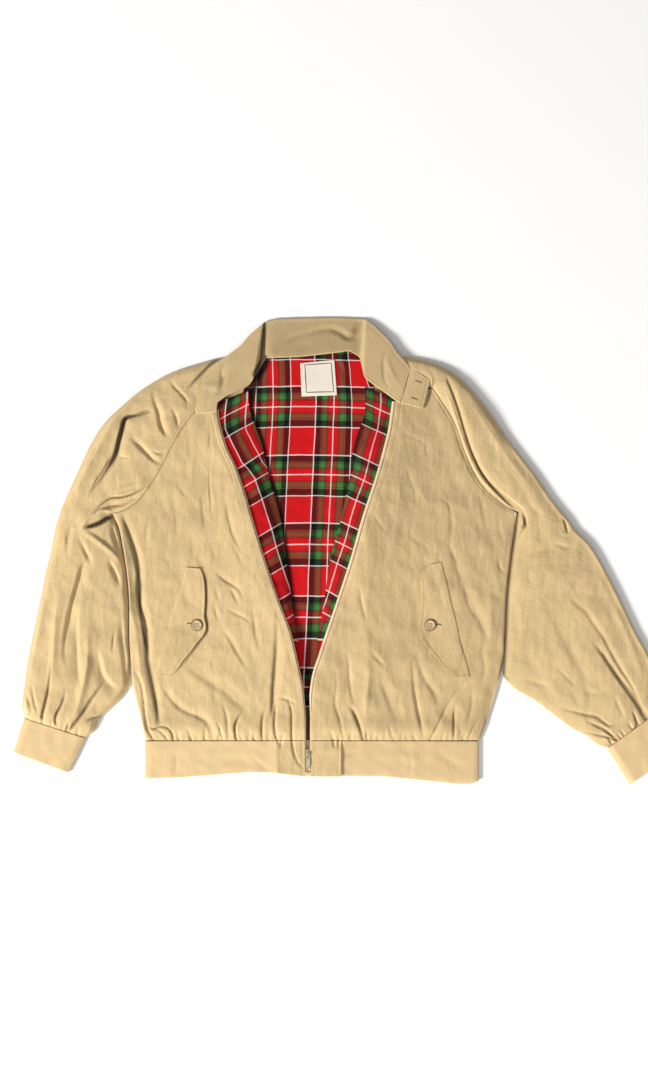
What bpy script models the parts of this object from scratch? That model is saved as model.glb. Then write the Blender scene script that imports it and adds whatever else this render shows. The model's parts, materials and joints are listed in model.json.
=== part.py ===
"""A harrington jacket laid flat on its back, its front unzipped and its sleeves out to the sides.

Each cut piece is a wall of cloth of its own, lying on the pieces below it: back, back lining, fronts, sleeves,
rib knit bands, collar, zip, pocket flaps. Right and left are the wearer's, so right pieces lie at -X.
Tables and sizes are in millimetres: X runs across, Y towards the collar, Z up from the surface it lies on.
"""

import math

import bmesh
import bpy
import numpy as np
from mathutils.bvhtree import BVHTree

MM = 0.001

# Walls
SHELL = 1.6  # cotton shell, with what is fused to it
LINING = 1.2
RIB = 2.4  # doubled rib knit
COLLAR = 2.4  # two layers of shell and a stiffener
LABEL = 0.8
SEAM_GAP = 0.8  # between two pieces that are sewn edge to edge
LAY_GAP = 0.3  # between two pieces that lie flat on each other

# Heights of the layers
BACK_TOP = SHELL
LINING_TOP = BACK_TOP + LAY_GAP + LINING
SHELL_TOP = 6.6  # upper side of the fronts and sleeves, away from their folds
LOWEST_TOP = 3.9  # no fold presses the upper side lower than this
SIDE_TOP = 3.6  # upper side of a front where it meets the back at the side seam
EDGE_ROUND = 3.0  # how far in a flattened tube's edge starts to curve
EDGE_TOP = 4.9  # upper side of a flattened sleeve at that distance
EDGE_ROLL = 13.0  # from there, how far in it takes to reach full height
SIDE_ROLL = 6.5  # how far a front's dip along its side seam reaches
RIB_TOP = 6.4
RIB_EDGE_TOP = 5.5
TAB_TOP = 6.2  # the least upper side of a hem tab
LINING_ROLL = 1.7  # exponent of the rolled lining's fall: slow at first, then steeper

# Zip
TAPE = 1.1
TAPE_GAP = 0.5  # between a front's underside and the tape below it
TAPE_UNDER = 4.0  # width of tape under the front
TAPE_FOOT = -329.0  # y of the tapes' lower ends
SLIDER_PLACE = (-58.5, -304.0)
SLIDER_WIDTH = 8.0
SLIDER_LENGTH = 12.0
SLIDER_PLATE = 1.2
SLIDER_POST = 1.0
BRIDGE_WIDTH = 2.4
BRIDGE_WALL = 1.4
BRIDGE_INSIDE = 2.7  # height under the bridge, which the pull's bar turns in
BRIDGE_HALF = 2.0  # half its length inside
BRIDGE_SUNK = 0.5  # how deep its feet are set into the plate
BRIDGE_CHAMFER = 1.0
PULL_BAR = 1.4
PULL_WIDTH = 6.5
PULL_LENGTH = 22.0
PULL_EYE = (4.0, 5.5)  # width and length of the hole round the bridge
PULL_CORNER = (1.6, 2.5)  # width and length of its cut corners

# Buttons
BUTTON_RADIUS = 7.5
BUTTON_HEIGHT = 2.6
BUTTON_RIM = 1.5
BUTTON_DISH = 0.8  # depth of the middle below the rim
BUTTON_FOOT = (0.8, 0.9)  # how far in and how high the rounded foot is
BUTTON_LIP = 0.3
BUTTON_HOLE = 0.9  # radius of each of the four holes
BUTTON_HOLE_OUT = 1.9  # of each hole, from the centre along X and Y
RIGHT_BUTTON = (-225.0, -111.0)
LEFT_BUTTON = (124.5, -111.0)
FLAP = 1.6
FLAP_GAP = 0.5
FLAP_BRIDGES = 4.0  # half the width of a dip that a flap lies over without sinking in
FLAP_LIFT = 0.5  # how much higher its free edge lies

# Mesh sizes
ROW_PITCH = 22.0
COLUMN_PITCH = 19.0
GATHER_PITCH = 4.8  # between the columns of a gathered edge
GATHER_STEPS = (0.0, 7.0, 16.0, 28.0, 42.0)  # rows of a gathered edge, from the seam
FINE = 400  # points of a smooth line before it is cut into rows
ABOVE_ALL = 60.0  # height from which the pieces are felt for, downward

# Edges in plan, as (x, y) from hem or cuff to neck. Pieces that meet along an edge share its points.
RIGHT_SIDE_LOW = [(-304, -284), (-310, -254), (-316, -230), (-322, -204)]
RIGHT_SIDE_HIGH = [(-326, -164), (-328, -126), (-328, -74), (-336, -3), (-346, 42), (-352, 56)]
RIGHT_RAGLAN = [(-352, 56), (-334, 61), (-312, 76), (-296, 98), (-279, 126), (-262, 159), (-243, 190), (-219, 220)]
RIGHT_ZIP_LOW = [(-63, -284), (-63, -250), (-65, -226), (-68, -202), (-76, -164), (-86, -122), (-104, -74),
                 (-128, -3), (-141, 40), (-146, 56)]
RIGHT_ZIP_HIGH = [(-146, 56), (-153, 82), (-159, 100), (-168, 126), (-182, 156), (-190, 182), (-194, 200), (-195, 212)]
LEFT_SIDE_LOW = [(200, -284), (210, -256), (218, -231), (225, -208), (230, -189)]
LEFT_SIDE_HIGH = [(236, -160), (238, -124), (240, -74), (246, -14), (253, 36), (255, 57)]
LEFT_RAGLAN = [(255, 57), (242, 64), (224, 76), (200, 100), (184, 130), (173, 158), (164, 184), (150, 210), (128, 244)]
LEFT_ZIP_LOW = [(-54, -284), (-54, -256), (-53, -231), (-51, -206), (-46, -180), (-39, -160), (-27, -124),
                (-10, -74), (12, -6), (26, 44), (30, 57)]
LEFT_ZIP_HIGH = [(30, 57), (38, 81), (46, 105), (54, 132), (61, 158), (67, 182), (70, 202), (73, 224)]

RIGHT_SLEEVE_OUT_LOW = [(-484, -250), (-488, -232), (-486, -213), (-482, -184), (-476, -148), (-469, -114),
                        (-462, -81), (-453, -36), (-445, -2), (-438, 33), (-429, 63)]
RIGHT_SLEEVE_OUT_HIGH = [(-429, 63), (-416, 93), (-400, 128), (-386, 158), (-366, 190), (-340, 216), (-303, 246),
                         (-268, 265), (-236, 276), (-206, 285), (-182, 291), (-164, 298)]
RIGHT_UNDERARM = [(-392, -280), (-379, -270), (-372, -254), (-356, -238), (-338, -221), (-327, -204)]
RIGHT_SLEEVE_NECK = [(-208, 232), (-192, 243)]
LEFT_SLEEVE_OUT_LOW = [(460, -246), (467, -226), (469, -206), (462, -178), (450, -152), (435, -126), (416, -86),
                       (392, -38), (362, 12), (340, 34), (334, 44), (322, 58), (304, 81)]
LEFT_SLEEVE_OUT_HIGH = [(304, 81), (284, 111), (261, 141), (238, 172), (218, 202), (196, 231), (178, 251), (159, 267),
                        (140, 278), (120, 285), (94, 291), (80, 293)]
LEFT_UNDERARM = [(390, -296), (375, -290), (360, -278), (338, -267), (314, -249), (282, -225), (248, -204), (234, -188)]
LEFT_SLEEVE_NECK = [(100, 250)]

RIGHT_CUFF_OUT = [(-501, -302), (-493, -276), (-484.5, -250.5)]
RIGHT_CUFF_IN = [(-418, -333), (-404, -306), (-392.5, -280.5)]
LEFT_CUFF_OUT = [(498, -298), (479, -273), (460.5, -246.5)]
LEFT_CUFF_IN = [(424, -351), (407, -323), (390.5, -296.5)]

# The back's neck end on each side, beyond the raglan seams
BACK_NECK_RIGHT = [(-190, 245), (-176, 271), (-162, 296)]
BACK_NECK_LEFT = [(97, 247), (86, 270), (74, 291)]

# Waistband, as (x, y of its lower fold, y of its seam)
WAISTBAND = [(-304, -342, -285), (-250, -340, -284.6), (-198, -336, -284.6), (-146, -332, -284.6), (-105, -333, -284.6),
             (-63, -338, -284.6), (-9, -338, -284.6), (50, -338, -284.6), (110, -344, -284.6), (170, -350, -285),
             (184, -350, -285), (198, -345, -285)]
WAIST_ENDS = (-105.6, -8.4)  # where the rib stops at the two hem tabs

# Back lining, as (left x, left y, right x, right y)
BACK_LINING = [(-72, -236, -50, -236), (-76, -208, -44, -208), (-86, -164, -32, -164), (-92, -118, -21, -118),
               (-100, -58, -18, -58), (-106, -14, -6, -14), (-116, 46, 6, 46), (-129, 106, 20, 106),
               (-141, 148, 24, 148), (-152, 182, 34, 182), (-158, 219, 44, 219), (-155, 244, 40, 246),
               (-142, 268, 32, 272), (-134, 292, 21, 304)]

# The fronts' own linings, which roll out past the zip: (x, y at the zip, x, y where they touch the back lining)
RIGHT_FRONT_LINING = [(-82, -136, -73, -136), (-94, -96, -80, -96), (-106, -66, -84, -66), (-118, -32, -88, -32),
                      (-131, 9, -94, 9), (-142, 44, -99, 44), (-152, 76, -106, 76), (-164, 114, -116, 110),
                      (-174, 141, -122, 136), (-183, 160, -128, 162), (-190, 182, -136, 184), (-195, 208, -146, 214),
                      (-192, 224, -147, 240)]
LEFT_FRONT_LINING = [(-30, -134, -44, -134), (-20, -104, -39, -104), (-10, -74, -34, -74), (-1, -44, -30, -44),
                     (8, -16, -26, -16), (19, 16, -18, 16), (28, 52, -9, 48), (37, 78, -3, 76), (47, 110, 4, 110),
                     (58, 148, 8, 148), (66, 176, 16, 177), (70, 200, 26, 202), (72, 220, 28, 224), (66, 232, 27, 246)]

# Collar, from the right end round to the left: (seam x, y, upper side, free edge x, y, upper side)
COLLAR_SECTIONS = [(-195, 208, 12.4, -226, 205, 11.0), (-194, 222, 12.8, -232, 220, 10.6),
                   (-182, 231, 13.2, -233, 243, 10.2), (-164, 240, 13.6, -216, 262, 10.0),
                   (-147, 248, 14.0, -198, 280, 9.8), (-145, 250, 14.2, -182, 291, 9.4),
                   (-143, 253, 14.2, -160, 308, 8.0), (-141, 256, 14.0, -147, 324, 6.8),
                   (-140, 260, 13.5, -125, 343, 5.5), (-133, 268, 6.6, -121, 345, 3.4),
                   (-121, 289, 6.2, -117, 346, 2.8), (-110, 289.5, 6.2, -105, 349, 2.6),
                   (-70, 291, 6.2, -70, 350, 2.6), (-26, 296, 6.2, -26, 351, 2.6),
                   (4, 300, 6.2, 8, 350, 2.6), (19, 291, 6.6, 24, 349, 3.0), (25, 263, 13.5, 29, 347, 5.2),
                   (27, 259, 14.0, 40, 340, 6.0), (30, 256, 13.8, 50, 330, 7.2), (38, 250, 13.4, 64, 316, 8.4),
                   (50, 242, 13.0, 75, 298, 9.4), (62, 233, 12.6, 86, 286, 10.2), (74, 224, 12.4, 93, 277, 10.6),
                   (80, 221.5, 12.2, 95.2, 274.3, 10.6)]
# Throat tab, sewn to the collar's left end: (x, y, upper side at the collar, x, y, upper side at its own end)
TAB_SECTIONS = [(80.35, 221.4, 12.2, 114, 213, 11.6), (85.4, 239, 11.67, 119, 232, 11.4),
                (90.4, 256.3, 11.14, 122, 246, 11.0), (95.55, 274.2, 10.6, 124.5, 256.5, 10.8)]

# Pocket flaps, as (x, y on the pocket seam, x, y on the free edge)
RIGHT_FLAP = [(-242, -24, -220, -26), (-244, -38, -216, -36), (-250, -58, -213, -58), (-258, -78, -213, -78),
              (-264, -96, -214, -96), (-270, -121, -212, -119), (-275, -140, -225, -138), (-280, -153, -236, -153),
              (-284, -165, -246, -165), (-286, -176, -254, -177), (-288, -187, -266, -188)]
LEFT_FLAP = [(141, -16, 124, -21), (144, -28, 112, -30), (150, -50, 111, -52), (154, -70, 111, -74),
             (161, -96, 109, -96), (166, -118, 107, -118), (168, -130, 111, -130), (172, -146, 122, -146),
             (177, -160, 134, -160), (181, -174, 144, -172), (184, -189, 165, -190)]
NECK_LABEL = [(-68, 232, -15, 234), (-70, 282, -19, 287)]

# Height that the zip edges stand above the rest of the fronts: (y, lift)
ZIP_LIFT = [(-340, 0.8), (-284, 1.0), (-240, 1.4), (-190, 2.6), (-150, 3.8), (-80, 5.2), (0, 6.0), (110, 5.4), (212, 2.6),
            (235, 1.2), (255, 0.0)]
ZIP_LIFT_WIDTH = 38.0
# Width of tape beyond each front's edge: (y, right, left)
TAPE_SHOWS = [(-329, 3.7, 3.7), (-262, 3.7, 3.7), (-215, 2.6, 5.2), (224, 2.4, 5.6)]

# Folds: start x, y, middle x, y, end x, y, width to the left, width to the right, height (troughs are negative).
# Left and right are as seen going from start to end.
SLEEVE_FOLDS = [
    (-296, 210, -336, 182, -382, 92, 10, 14, -2.7),
    (-300, 228, -352, 194, -400, 96, 14, 12, 2.4),
    (-318, 166, -298, 152, -280, 134, 9, 9, -1.8),
    (-276, 200, -277, 184, -280, 168, 7, 9, -1.5),
    (-372, 62, -338, 80, -300, 92, 8, 9, -2.4),
    (-394, 34, -374, 45, -356, 54, 8, 10, -2.7),
    (-386, 30, -364, 16, -346, -8, 9, 9, -2.0),
    (-402, 80, -384, 58, -366, 34, 10, 9, 1.8),
    (-396, -20, -412, -88, -422, -150, 13, 11, -2.4),
    (-404, -130, -404, -156, -405, -180, 9, 9, -1.5),
    (-386, -100, -386, -164, -388, -226, 12, 12, 2.4),
    (-352, -170, -358, -186, -368, -204, 8, 8, -1.6),
    (-453, -70, -463, -148, -471, -226, 11, 11, 1.9),
    (-432, -132, -442, -204, -447, -256, 9, 9, 2.4),
    (-436, -150, -448, -208, -457, -256, 8, 7, -2.8),
    (-406, -190, -423, -226, -438, -266, 8, 7, -2.6),
    (-394, -162, -408, -216, -426, -266, 9, 9, 2.2),
    (-360, -168, -388, -220, -420, -274, 8, 9, -2.8),
    (148, 258, 180, 168, 216, 94, 12, 6, -2.6),
    (166, 256, 196, 176, 232, 104, 14, 10, 1.6),
    (296, 4, 320, 5, 344, 0, 9, 9, -1.3),
    (314, 24, 326, 38, 344, 32, 8, 8, -2.7),
    (334, -56, 368, -110, 396, -172, 11, 11, -2.0),
    (394, -170, 418, -208, 450, -254, 8, 10, -2.8),
    (318, -240, 364, -248, 408, -286, 8, 9, -2.4),
    (364, -12, 402, -88, 432, -160, 13, 13, 2.0),
    (376, -146, 410, -216, 436, -270, 12, 10, 2.2),
    (274, -56, 318, -134, 362, -206, 16, 16, -1.3),
    (262, 120, 296, 62, 304, -12, 17, 17, 1.5),
]
FRONT_FOLDS = [
    (-340, 40, -318, -84, -290, -250, 9, 14, 2.6),
    (-336, 50, -306, -44, -283, -250, 12, 8, -2.4),
    (-230, -196, -186, -208, -146, -236, 12, 10, -1.8),
    (-276, -210, -238, -231, -198, -254, 10, 9, -1.5),
    (-98, -111, -104, -170, -112, -231, 10, 7, -2.0),
    (-84, -216, -83, -250, -82, -292, 6, 6, -1.6),
    (-206, 150, -184, 78, -168, -12, 16, 16, 1.5),
    (-256, 122, -238, 64, -230, 4, 14, 12, -1.4),
    (-196, -80, -172, -134, -138, -172, 12, 12, -1.5),
    (190, 34, 196, -50, 216, -134, 12, 10, -1.4),
    (4, -58, 16, -80, 28, -100, 7, 7, -1.5),
    (-6, -112, 20, -134, 52, -172, 9, 9, -1.8),
    (57, -146, 68, -200, 72, -256, 9, 9, -1.8),
    (100, -194, 107, -226, 111, -270, 8, 8, -1.8),
    (80, 150, 72, 46, 57, -72, 20, 20, 1.4),
    (150, -238, 137, -256, 125, -280, 7, 7, -1.8),
    (222, -12, 214, -104, 202, -206, 14, 12, 1.8),
]

# Gathers above the rib seams: position on the seam (x), lean (x shift at the top), length, depth
RIGHT_HEM_GATHERS = [(-299, -5, 24, 1.8), (-291, -7, 20, 1.2), (-281, -2, 16, 1.3), (-271, 2, 15, 1.1), (-261, 3, 18, 1.9),
                     (-250, 0, 13, 0.9), (-232, -4, 19, 1.2), (-210, 2, 14, 0.9), (-197, 6, 26, 1.4), (-183, 5, 22, 1.5),
                     (-167, 9, 30, 2.0), (-152, 5, 18, 1.0), (-138, 2, 17, 1.0), (-126, 2, 36, 1.9), (-108, -3, 26, 1.6)]
LEFT_HEM_GATHERS = [(-2, -4, 20, 1.2), (14, -8, 34, 2.0), (29, -4, 22, 1.5), (43, 2, 16, 1.0), (56, 1, 20, 1.2),
                    (70, 2, 28, 1.6), (85, 0, 16, 1.0), (99, -3, 22, 1.2), (112, -3, 24, 1.4), (124, 6, 20, 1.7),
                    (136, 5, 24, 1.2), (149, 4, 18, 1.4), (162, 5, 22, 1.2), (176, 6, 20, 1.5), (188, 4, 16, 1.1)]
HEM_SEAM = -284.0
# Gathers at the cuffs: fraction along the seam from the sleeve's outer edge, length, depth
CUFF_GATHERS = [(0.08, 22, 1.3), (0.19, 26, 1.6), (0.31, 18, 1.8), (0.42, 20, 1.2), (0.53, 26, 1.8), (0.64, 18, 1.2),
                (0.75, 24, 1.9), (0.85, 18, 1.2), (0.94, 14, 1.0)]
GATHER_WIDTH = 4.6
GATHER_START = -8.0  # a gather's line starts beyond the seam, so that it is at full depth on it

# Soft waves of the collar and the rib bands, in the columns of the fold tables
COLLAR_FOLDS = [(-110, 312, -68, 334, -14, 334, 10, 10, -1.0), (-14, 334, 2, 328, 16, 338, 8, 8, -0.9),
                (54, 304, 52, 284, 54, 256, 7, 7, -1.1), (-222, 250, -196, 246, -170, 262, 9, 9, 0.9)]
RIB_FOLDS = [(-210, -326, -170, -312, -120, -330, 12, 12, -0.8), (-300, -320, -280, -300, -240, -292, 14, 14, 0.7),
             (20, -326, 70, -306, 120, -322, 14, 14, 0.8), (130, -300, 160, -318, 190, -330, 12, 12, -0.7)]

# Colours, as linear RGB
TAN = (0.62, 0.46, 0.26)
RIB_TAN = (0.66, 0.47, 0.27)
TARTAN_RED = (0.62, 0.02, 0.03)
CREAM = (0.80, 0.76, 0.64)
BRASS = (0.62, 0.50, 0.30)
HORN = (0.42, 0.30, 0.17)
TAPE_TAN = (0.55, 0.42, 0.25)


def curve(points, count):
    """That many points at equal steps along a smooth line through the given ones, of two or more coordinates."""
    knots = np.array(points, float)
    chord = np.concatenate([[0.0], np.cumsum(np.linalg.norm(np.diff(knots[:, :2], axis=0), axis=1))])
    slopes = np.gradient(knots, chord, axis=0)
    t = np.linspace(0.0, chord[-1], 800)
    i = np.clip(np.searchsorted(chord, t, side="right") - 1, 0, len(chord) - 2)
    span = (chord[i + 1] - chord[i])[:, None]
    u = (t[:, None] - chord[i][:, None]) / span
    fine = (
        (2 * u**3 - 3 * u**2 + 1) * knots[i]
        + (u**3 - 2 * u**2 + u) * span * slopes[i]
        + (3 * u**2 - 2 * u**3) * knots[i + 1]
        + (u**3 - u**2) * span * slopes[i + 1]
    )
    return resample(fine, np.linspace(0.0, 1.0, count))


def resample(line, fractions):
    """Points of a line at these fractions of its length in plan."""
    run = np.concatenate([[0.0], np.cumsum(np.linalg.norm(np.diff(line[:, :2], axis=0), axis=1))])
    at = np.asarray(fractions) * run[-1]
    return np.column_stack([np.interp(at, run, line[:, k]) for k in range(line.shape[1])])


def steps_along(length, first):
    """Fractions of a length: the first steps in millimetres, then equal steps of about one row pitch."""
    rest = max(2, round((length - first[-1]) / ROW_PITCH) + 1)
    return np.concatenate([np.array(first[:-1]) / length, np.linspace(first[-1] / length, 1.0, rest)])


def length_of(points):
    return float(np.linalg.norm(np.diff(np.array(points, float)[:, :2], axis=0), axis=1).sum())


def pulled_in(edge, other, gap):
    """An edge moved square to itself towards the piece's other edge."""
    along = np.gradient(edge, axis=0)
    along /= np.linalg.norm(along, axis=1)[:, None]
    square = np.column_stack([-along[:, 1], along[:, 0]])
    inward = np.sign(np.sum(square * (other - edge), axis=1))
    return edge + square * inward[:, None] * gap


def fold_height(x, y, folds):
    """Sum of ridges and troughs: each follows a bent line and falls off beside it as a raised cosine."""
    total = np.zeros_like(x)
    t = np.linspace(0.0, 1.0, 9)
    for x0, y0, x1, y1, x2, y2, left, right, height in folds:
        bend_x, bend_y = 2 * x1 - (x0 + x2) / 2, 2 * y1 - (y0 + y2) / 2
        line_x = (1 - t) ** 2 * x0 + 2 * t * (1 - t) * bend_x + t**2 * x2
        line_y = (1 - t) ** 2 * y0 + 2 * t * (1 - t) * bend_y + t**2 * y2
        nearest = np.full_like(x, 1e9)
        side = np.zeros_like(x)
        run = np.zeros_like(x)
        for i in range(len(t) - 1):
            step_x, step_y = line_x[i + 1] - line_x[i], line_y[i + 1] - line_y[i]
            away_x, away_y = x - line_x[i], y - line_y[i]
            part = np.clip((away_x * step_x + away_y * step_y) / (step_x**2 + step_y**2), 0.0, 1.0)
            distance = np.hypot(away_x - part * step_x, away_y - part * step_y)
            closer = distance < nearest
            nearest = np.where(closer, distance, nearest)
            side = np.where(closer, step_x * away_y - step_y * away_x, side)
            run = np.where(closer, t[i] + part * (t[i + 1] - t[i]), run)
        width = np.where(side > 0, left, right)
        across = 0.5 + 0.5 * np.cos(np.pi * np.clip(nearest / width, 0.0, 1.0))
        total += height * across * np.sqrt(np.clip(4 * run * (1 - run), 0.0, 1.0))
    return total


def hem_gathers(table):
    """Fold rows for the gathers over the waistband."""
    return [
        (x, HEM_SEAM + GATHER_START, x + lean * 0.3, HEM_SEAM + length * 0.4, x + lean, HEM_SEAM + length,
         GATHER_WIDTH, GATHER_WIDTH, -depth)
        for x, lean, length, depth in table
    ]


def cuff_gathers(outer_end, inner_end):
    """Fold rows for the gathers over a cuff, square to its seam."""
    start, end = np.array(outer_end, float), np.array(inner_end, float)
    along = (end - start) / np.linalg.norm(end - start)
    up = np.array([-along[1], along[0]])
    up *= np.sign(up[1])
    rows = []
    for fraction, length, depth in CUFF_GATHERS:
        root = start + (end - start) * fraction
        low, middle, high = root + up * GATHER_START, root + up * length * 0.4, root + up * length
        rows.append((*low, *middle, *high, GATHER_WIDTH, GATHER_WIDTH, -depth))
    return rows


ALL_FOLDS = (
    SLEEVE_FOLDS
    + FRONT_FOLDS
    + hem_gathers(RIGHT_HEM_GATHERS)
    + hem_gathers(LEFT_HEM_GATHERS)
    + cuff_gathers(RIGHT_SLEEVE_OUT_LOW[0], RIGHT_UNDERARM[0])
    + cuff_gathers(LEFT_SLEEVE_OUT_LOW[0], LEFT_UNDERARM[0])
)


def zip_lift(x, y):
    """How far a front is raised here: most at its zip edge, falling away from it."""
    lift = np.interp(y, *np.array(ZIP_LIFT, float).T)
    right = np.array(RIGHT_ZIP_LOW + RIGHT_ZIP_HIGH[1:], float)
    left = np.array(LEFT_ZIP_LOW + LEFT_ZIP_HIGH[1:], float)
    from_right = np.clip(np.interp(y, right[:, 1], right[:, 0]) - x, 0.0, None)
    from_left = np.clip(x - np.interp(y, left[:, 1], left[:, 0]), 0.0, None)
    away = np.where(x < np.interp(y, left[:, 1], (right[:, 0].min() + left[:, 0]) / 2), from_right, from_left)
    away = np.where(from_right > 0, from_right, away)
    return lift * np.exp(-((away / ZIP_LIFT_WIDTH) ** 2))


def shell_top(x, y):
    """Upper side of the fronts and sleeves at any place in plan."""
    return np.maximum(SHELL_TOP + fold_height(x, y, ALL_FOLDS), LOWEST_TOP) + zip_lift(x, y)


def stations(row):
    """How far along the row in plan each of its points lies, from 0 to 1."""
    run = np.concatenate([[0.0], np.cumsum(np.linalg.norm(np.diff(row[:, :2], axis=0), axis=1))])
    return (run / run[-1]).tolist()


def zipper_rows(first, second, first_at, second_at):
    """Triangles between two rows of vertex numbers. Each step takes the row whose next station comes first."""
    faces = []
    i = j = 0
    while i < len(first) - 1 or j < len(second) - 1:
        ahead_first = first_at[i + 1] if i < len(first) - 1 else 2.0
        ahead_second = second_at[j + 1] if j < len(second) - 1 else 2.0
        if ahead_first <= ahead_second:
            faces.append((first[i], first[i + 1], second[j]))
            i += 1
        else:
            faces.append((first[i], second[j + 1], second[j]))
            j += 1
    return faces


def new_object(name, vertices, faces, material):
    """An object with this closed mesh, its faces turned outward."""
    mesh = bpy.data.meshes.new(name)
    mesh.from_pydata([tuple(v * MM for v in vertex) for vertex in vertices], [], faces)
    work = bmesh.new()
    work.from_mesh(mesh)
    bmesh.ops.recalc_face_normals(work, faces=work.faces)
    work.to_mesh(mesh)
    work.free()
    mesh.shade_smooth()
    mesh.set_sharp_from_angle(angle=math.radians(50))
    mesh.materials.append(material)
    piece = bpy.data.objects.new(name, mesh)
    bpy.context.scene.collection.objects.link(piece)
    return piece


def wall(name, outer, inner, material, joined=None):
    """A wall of cloth between two surfaces, each given as rows of points.

    Where a row is joined, its last point is its first, as round a tube; the wall has no edge there.
    """
    joined = joined or [False] * len(outer)
    vertices = []
    numbers = []
    for surface in (outer, inner):
        rows = []
        for row, closed in zip(surface, joined):
            first = len(vertices)
            kept = row[:-1] if closed else row
            vertices.extend(kept.tolist())
            row_numbers = list(range(first, first + len(kept)))
            rows.append(row_numbers + [first] if closed else row_numbers)
        numbers.append(rows)
    at = [stations(row) for row in outer]
    faces = []
    for rows in numbers:
        for k in range(len(rows) - 1):
            faces += zipper_rows(rows[k], rows[k + 1], at[k], at[k + 1])
    for end in (0, -1):
        faces += zipper_rows(numbers[0][end], numbers[1][end], at[end], at[end])
    for k in range(len(outer) - 1):
        if joined[k] and joined[k + 1]:
            continue
        for end in (0, -1):
            edges = [[rows[k][end], rows[k + 1][end]] for rows in numbers]
            faces += zipper_rows(*edges, (0.0, 1.0), (0.0, 1.0))
    return new_object(name, vertices, faces, material)


def across(left, right, spots):
    """Points of one row in plan, at these distances from its left end."""
    width = np.linalg.norm(right - left)
    return left + (right - left) * (np.asarray(spots) / width)[:, None]


def spread(width, pitch, edges):
    """Distances across a row: set ones near both edges, then equal steps."""
    count = max(2, round((width - 2 * edges[-1]) / pitch) + 1)
    middle = np.linspace(edges[-1], width - edges[-1], count)
    low = np.array(edges[:-1])
    return np.concatenate([low, middle, (width - low)[::-1]])


def two_stretches(lower, upper, low, high):
    """Points at these fractions of an edge's lower stretch, then of its upper one. A stretch may be several lines."""
    edge = []
    for stretch, fractions in ((lower, low), (upper, high)):
        edge.append(resample(np.vstack([curve(line, FINE) for line in stretch]), fractions))
    return np.vstack(edge)


def front_panel(name, side, raglan, zip_low, zip_high, material):
    """A front, from the waistband's seam to the neck, between its side or raglan seam and its zip edge."""
    low = steps_along(length_of(side), GATHER_STEPS)
    high = np.linspace(0.0, 1.0, round(length_of(raglan) / ROW_PITCH) + 1)[1:]
    side_edge = two_stretches([side], [raglan], low, high)
    zip_edge = two_stretches([zip_low], [zip_high], low, high)
    side_edge = pulled_in(side_edge, zip_edge, SEAM_GAP / 2)
    tops, bottoms = [], []
    for k, (side_end, zip_end) in enumerate(zip(side_edge, zip_edge)):
        width = np.linalg.norm(zip_end - side_end)
        pitch = GATHER_PITCH if k < len(GATHER_STEPS) - 1 else COLUMN_PITCH
        plan = across(side_end, zip_end, spread(width, pitch, (0.0, TAPE_UNDER, 10.0)))
        height = shell_top(plan[:, 0], plan[:, 1])
        if k < len(low) - 1:
            from_side = np.linalg.norm(plan - side_end, axis=1)
            height += (SIDE_TOP - height) * np.exp(-((from_side / SIDE_ROLL) ** 2))
        tops.append(np.column_stack([plan, height]))
        bottoms.append(np.column_stack([plan, height - SHELL]))
    return wall(name, tops, bottoms, material)


def tube_row(outer_end, inner_end, tops, thickness, pitch, closed):
    """One ring of a flattened tube, as outer and inner points.

    It starts at the inner edge, runs along the underside to the outer edge and back along the top. A row that isn't
    closed stops at a seam on both sides instead.
    """
    width = np.linalg.norm(inner_end - outer_end)
    below = np.array([width - EDGE_ROUND, width / 2, EDGE_ROUND])
    above = spread(width, pitch, (EDGE_ROUND, 2.6 * EDGE_ROUND))
    shape_top = tops(across(outer_end, inner_end, above), above, width - above)
    rim = EDGE_TOP / 2
    seam_top = float(tops(inner_end[None, :], np.array([width]), np.array([1e3]))[0])
    rings = []
    for inset in (0.0, thickness):
        ends = (rim, rim) if closed else (inset, seam_top - inset)
        tuck = inset if closed else 0.0
        spots = np.concatenate([[width - tuck], below, [inset], above, [width - tuck]])
        heights = np.concatenate([[ends[0]], np.full(3, inset), [rim], shape_top - inset, [ends[1]]])
        rings.append(np.column_stack([across(outer_end, inner_end, spots), heights]))
    return rings


def rise(distance):
    """From 0 at a flattened edge to 1 some way in."""
    return 1.0 - np.clip(1.0 - (distance - EDGE_ROUND) / EDGE_ROLL, 0.0, 1.0) ** 2


def sleeve(name, out_low, out_high, underarm, side, raglan, neck, material):
    """A raglan sleeve: a flattened tube from the cuff to the armpit, then open along its seam with the body."""
    low = steps_along(length_of(out_low), GATHER_STEPS)
    neck_line = [raglan[-1], *neck]
    seam_part = length_of(raglan) / (length_of(raglan) + length_of(neck_line))
    rows = round(length_of(out_high) * seam_part / ROW_PITCH) + 1
    high = np.concatenate([np.linspace(0.0, seam_part, rows)[1:], np.linspace(seam_part, 1.0, 3)[1:]])
    outside = two_stretches([out_low], [out_high], low, high)
    inside = two_stretches([underarm, side], [raglan, neck_line], low, high)
    inside = pulled_in(inside, outside, SEAM_GAP / 2)
    outer, inner, joined = [], [], []
    for k, (outer_end, inner_end) in enumerate(zip(outside, inside)):
        closed = k < len(low)

        def tops(plan, from_outer, from_inner, seam_side=closed):
            flat = rise(from_outer) * (rise(from_inner) if seam_side else 1.0)
            full = shell_top(plan[:, 0], plan[:, 1])
            return EDGE_TOP + (full - EDGE_TOP) * flat

        pitch = GATHER_PITCH if k < len(GATHER_STEPS) - 1 else COLUMN_PITCH
        rings = tube_row(outer_end, inner_end, tops, SHELL, pitch, closed)
        outer.append(rings[0])
        inner.append(rings[1])
        joined.append(closed)
    return wall(name, outer, inner, material, joined)


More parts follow.
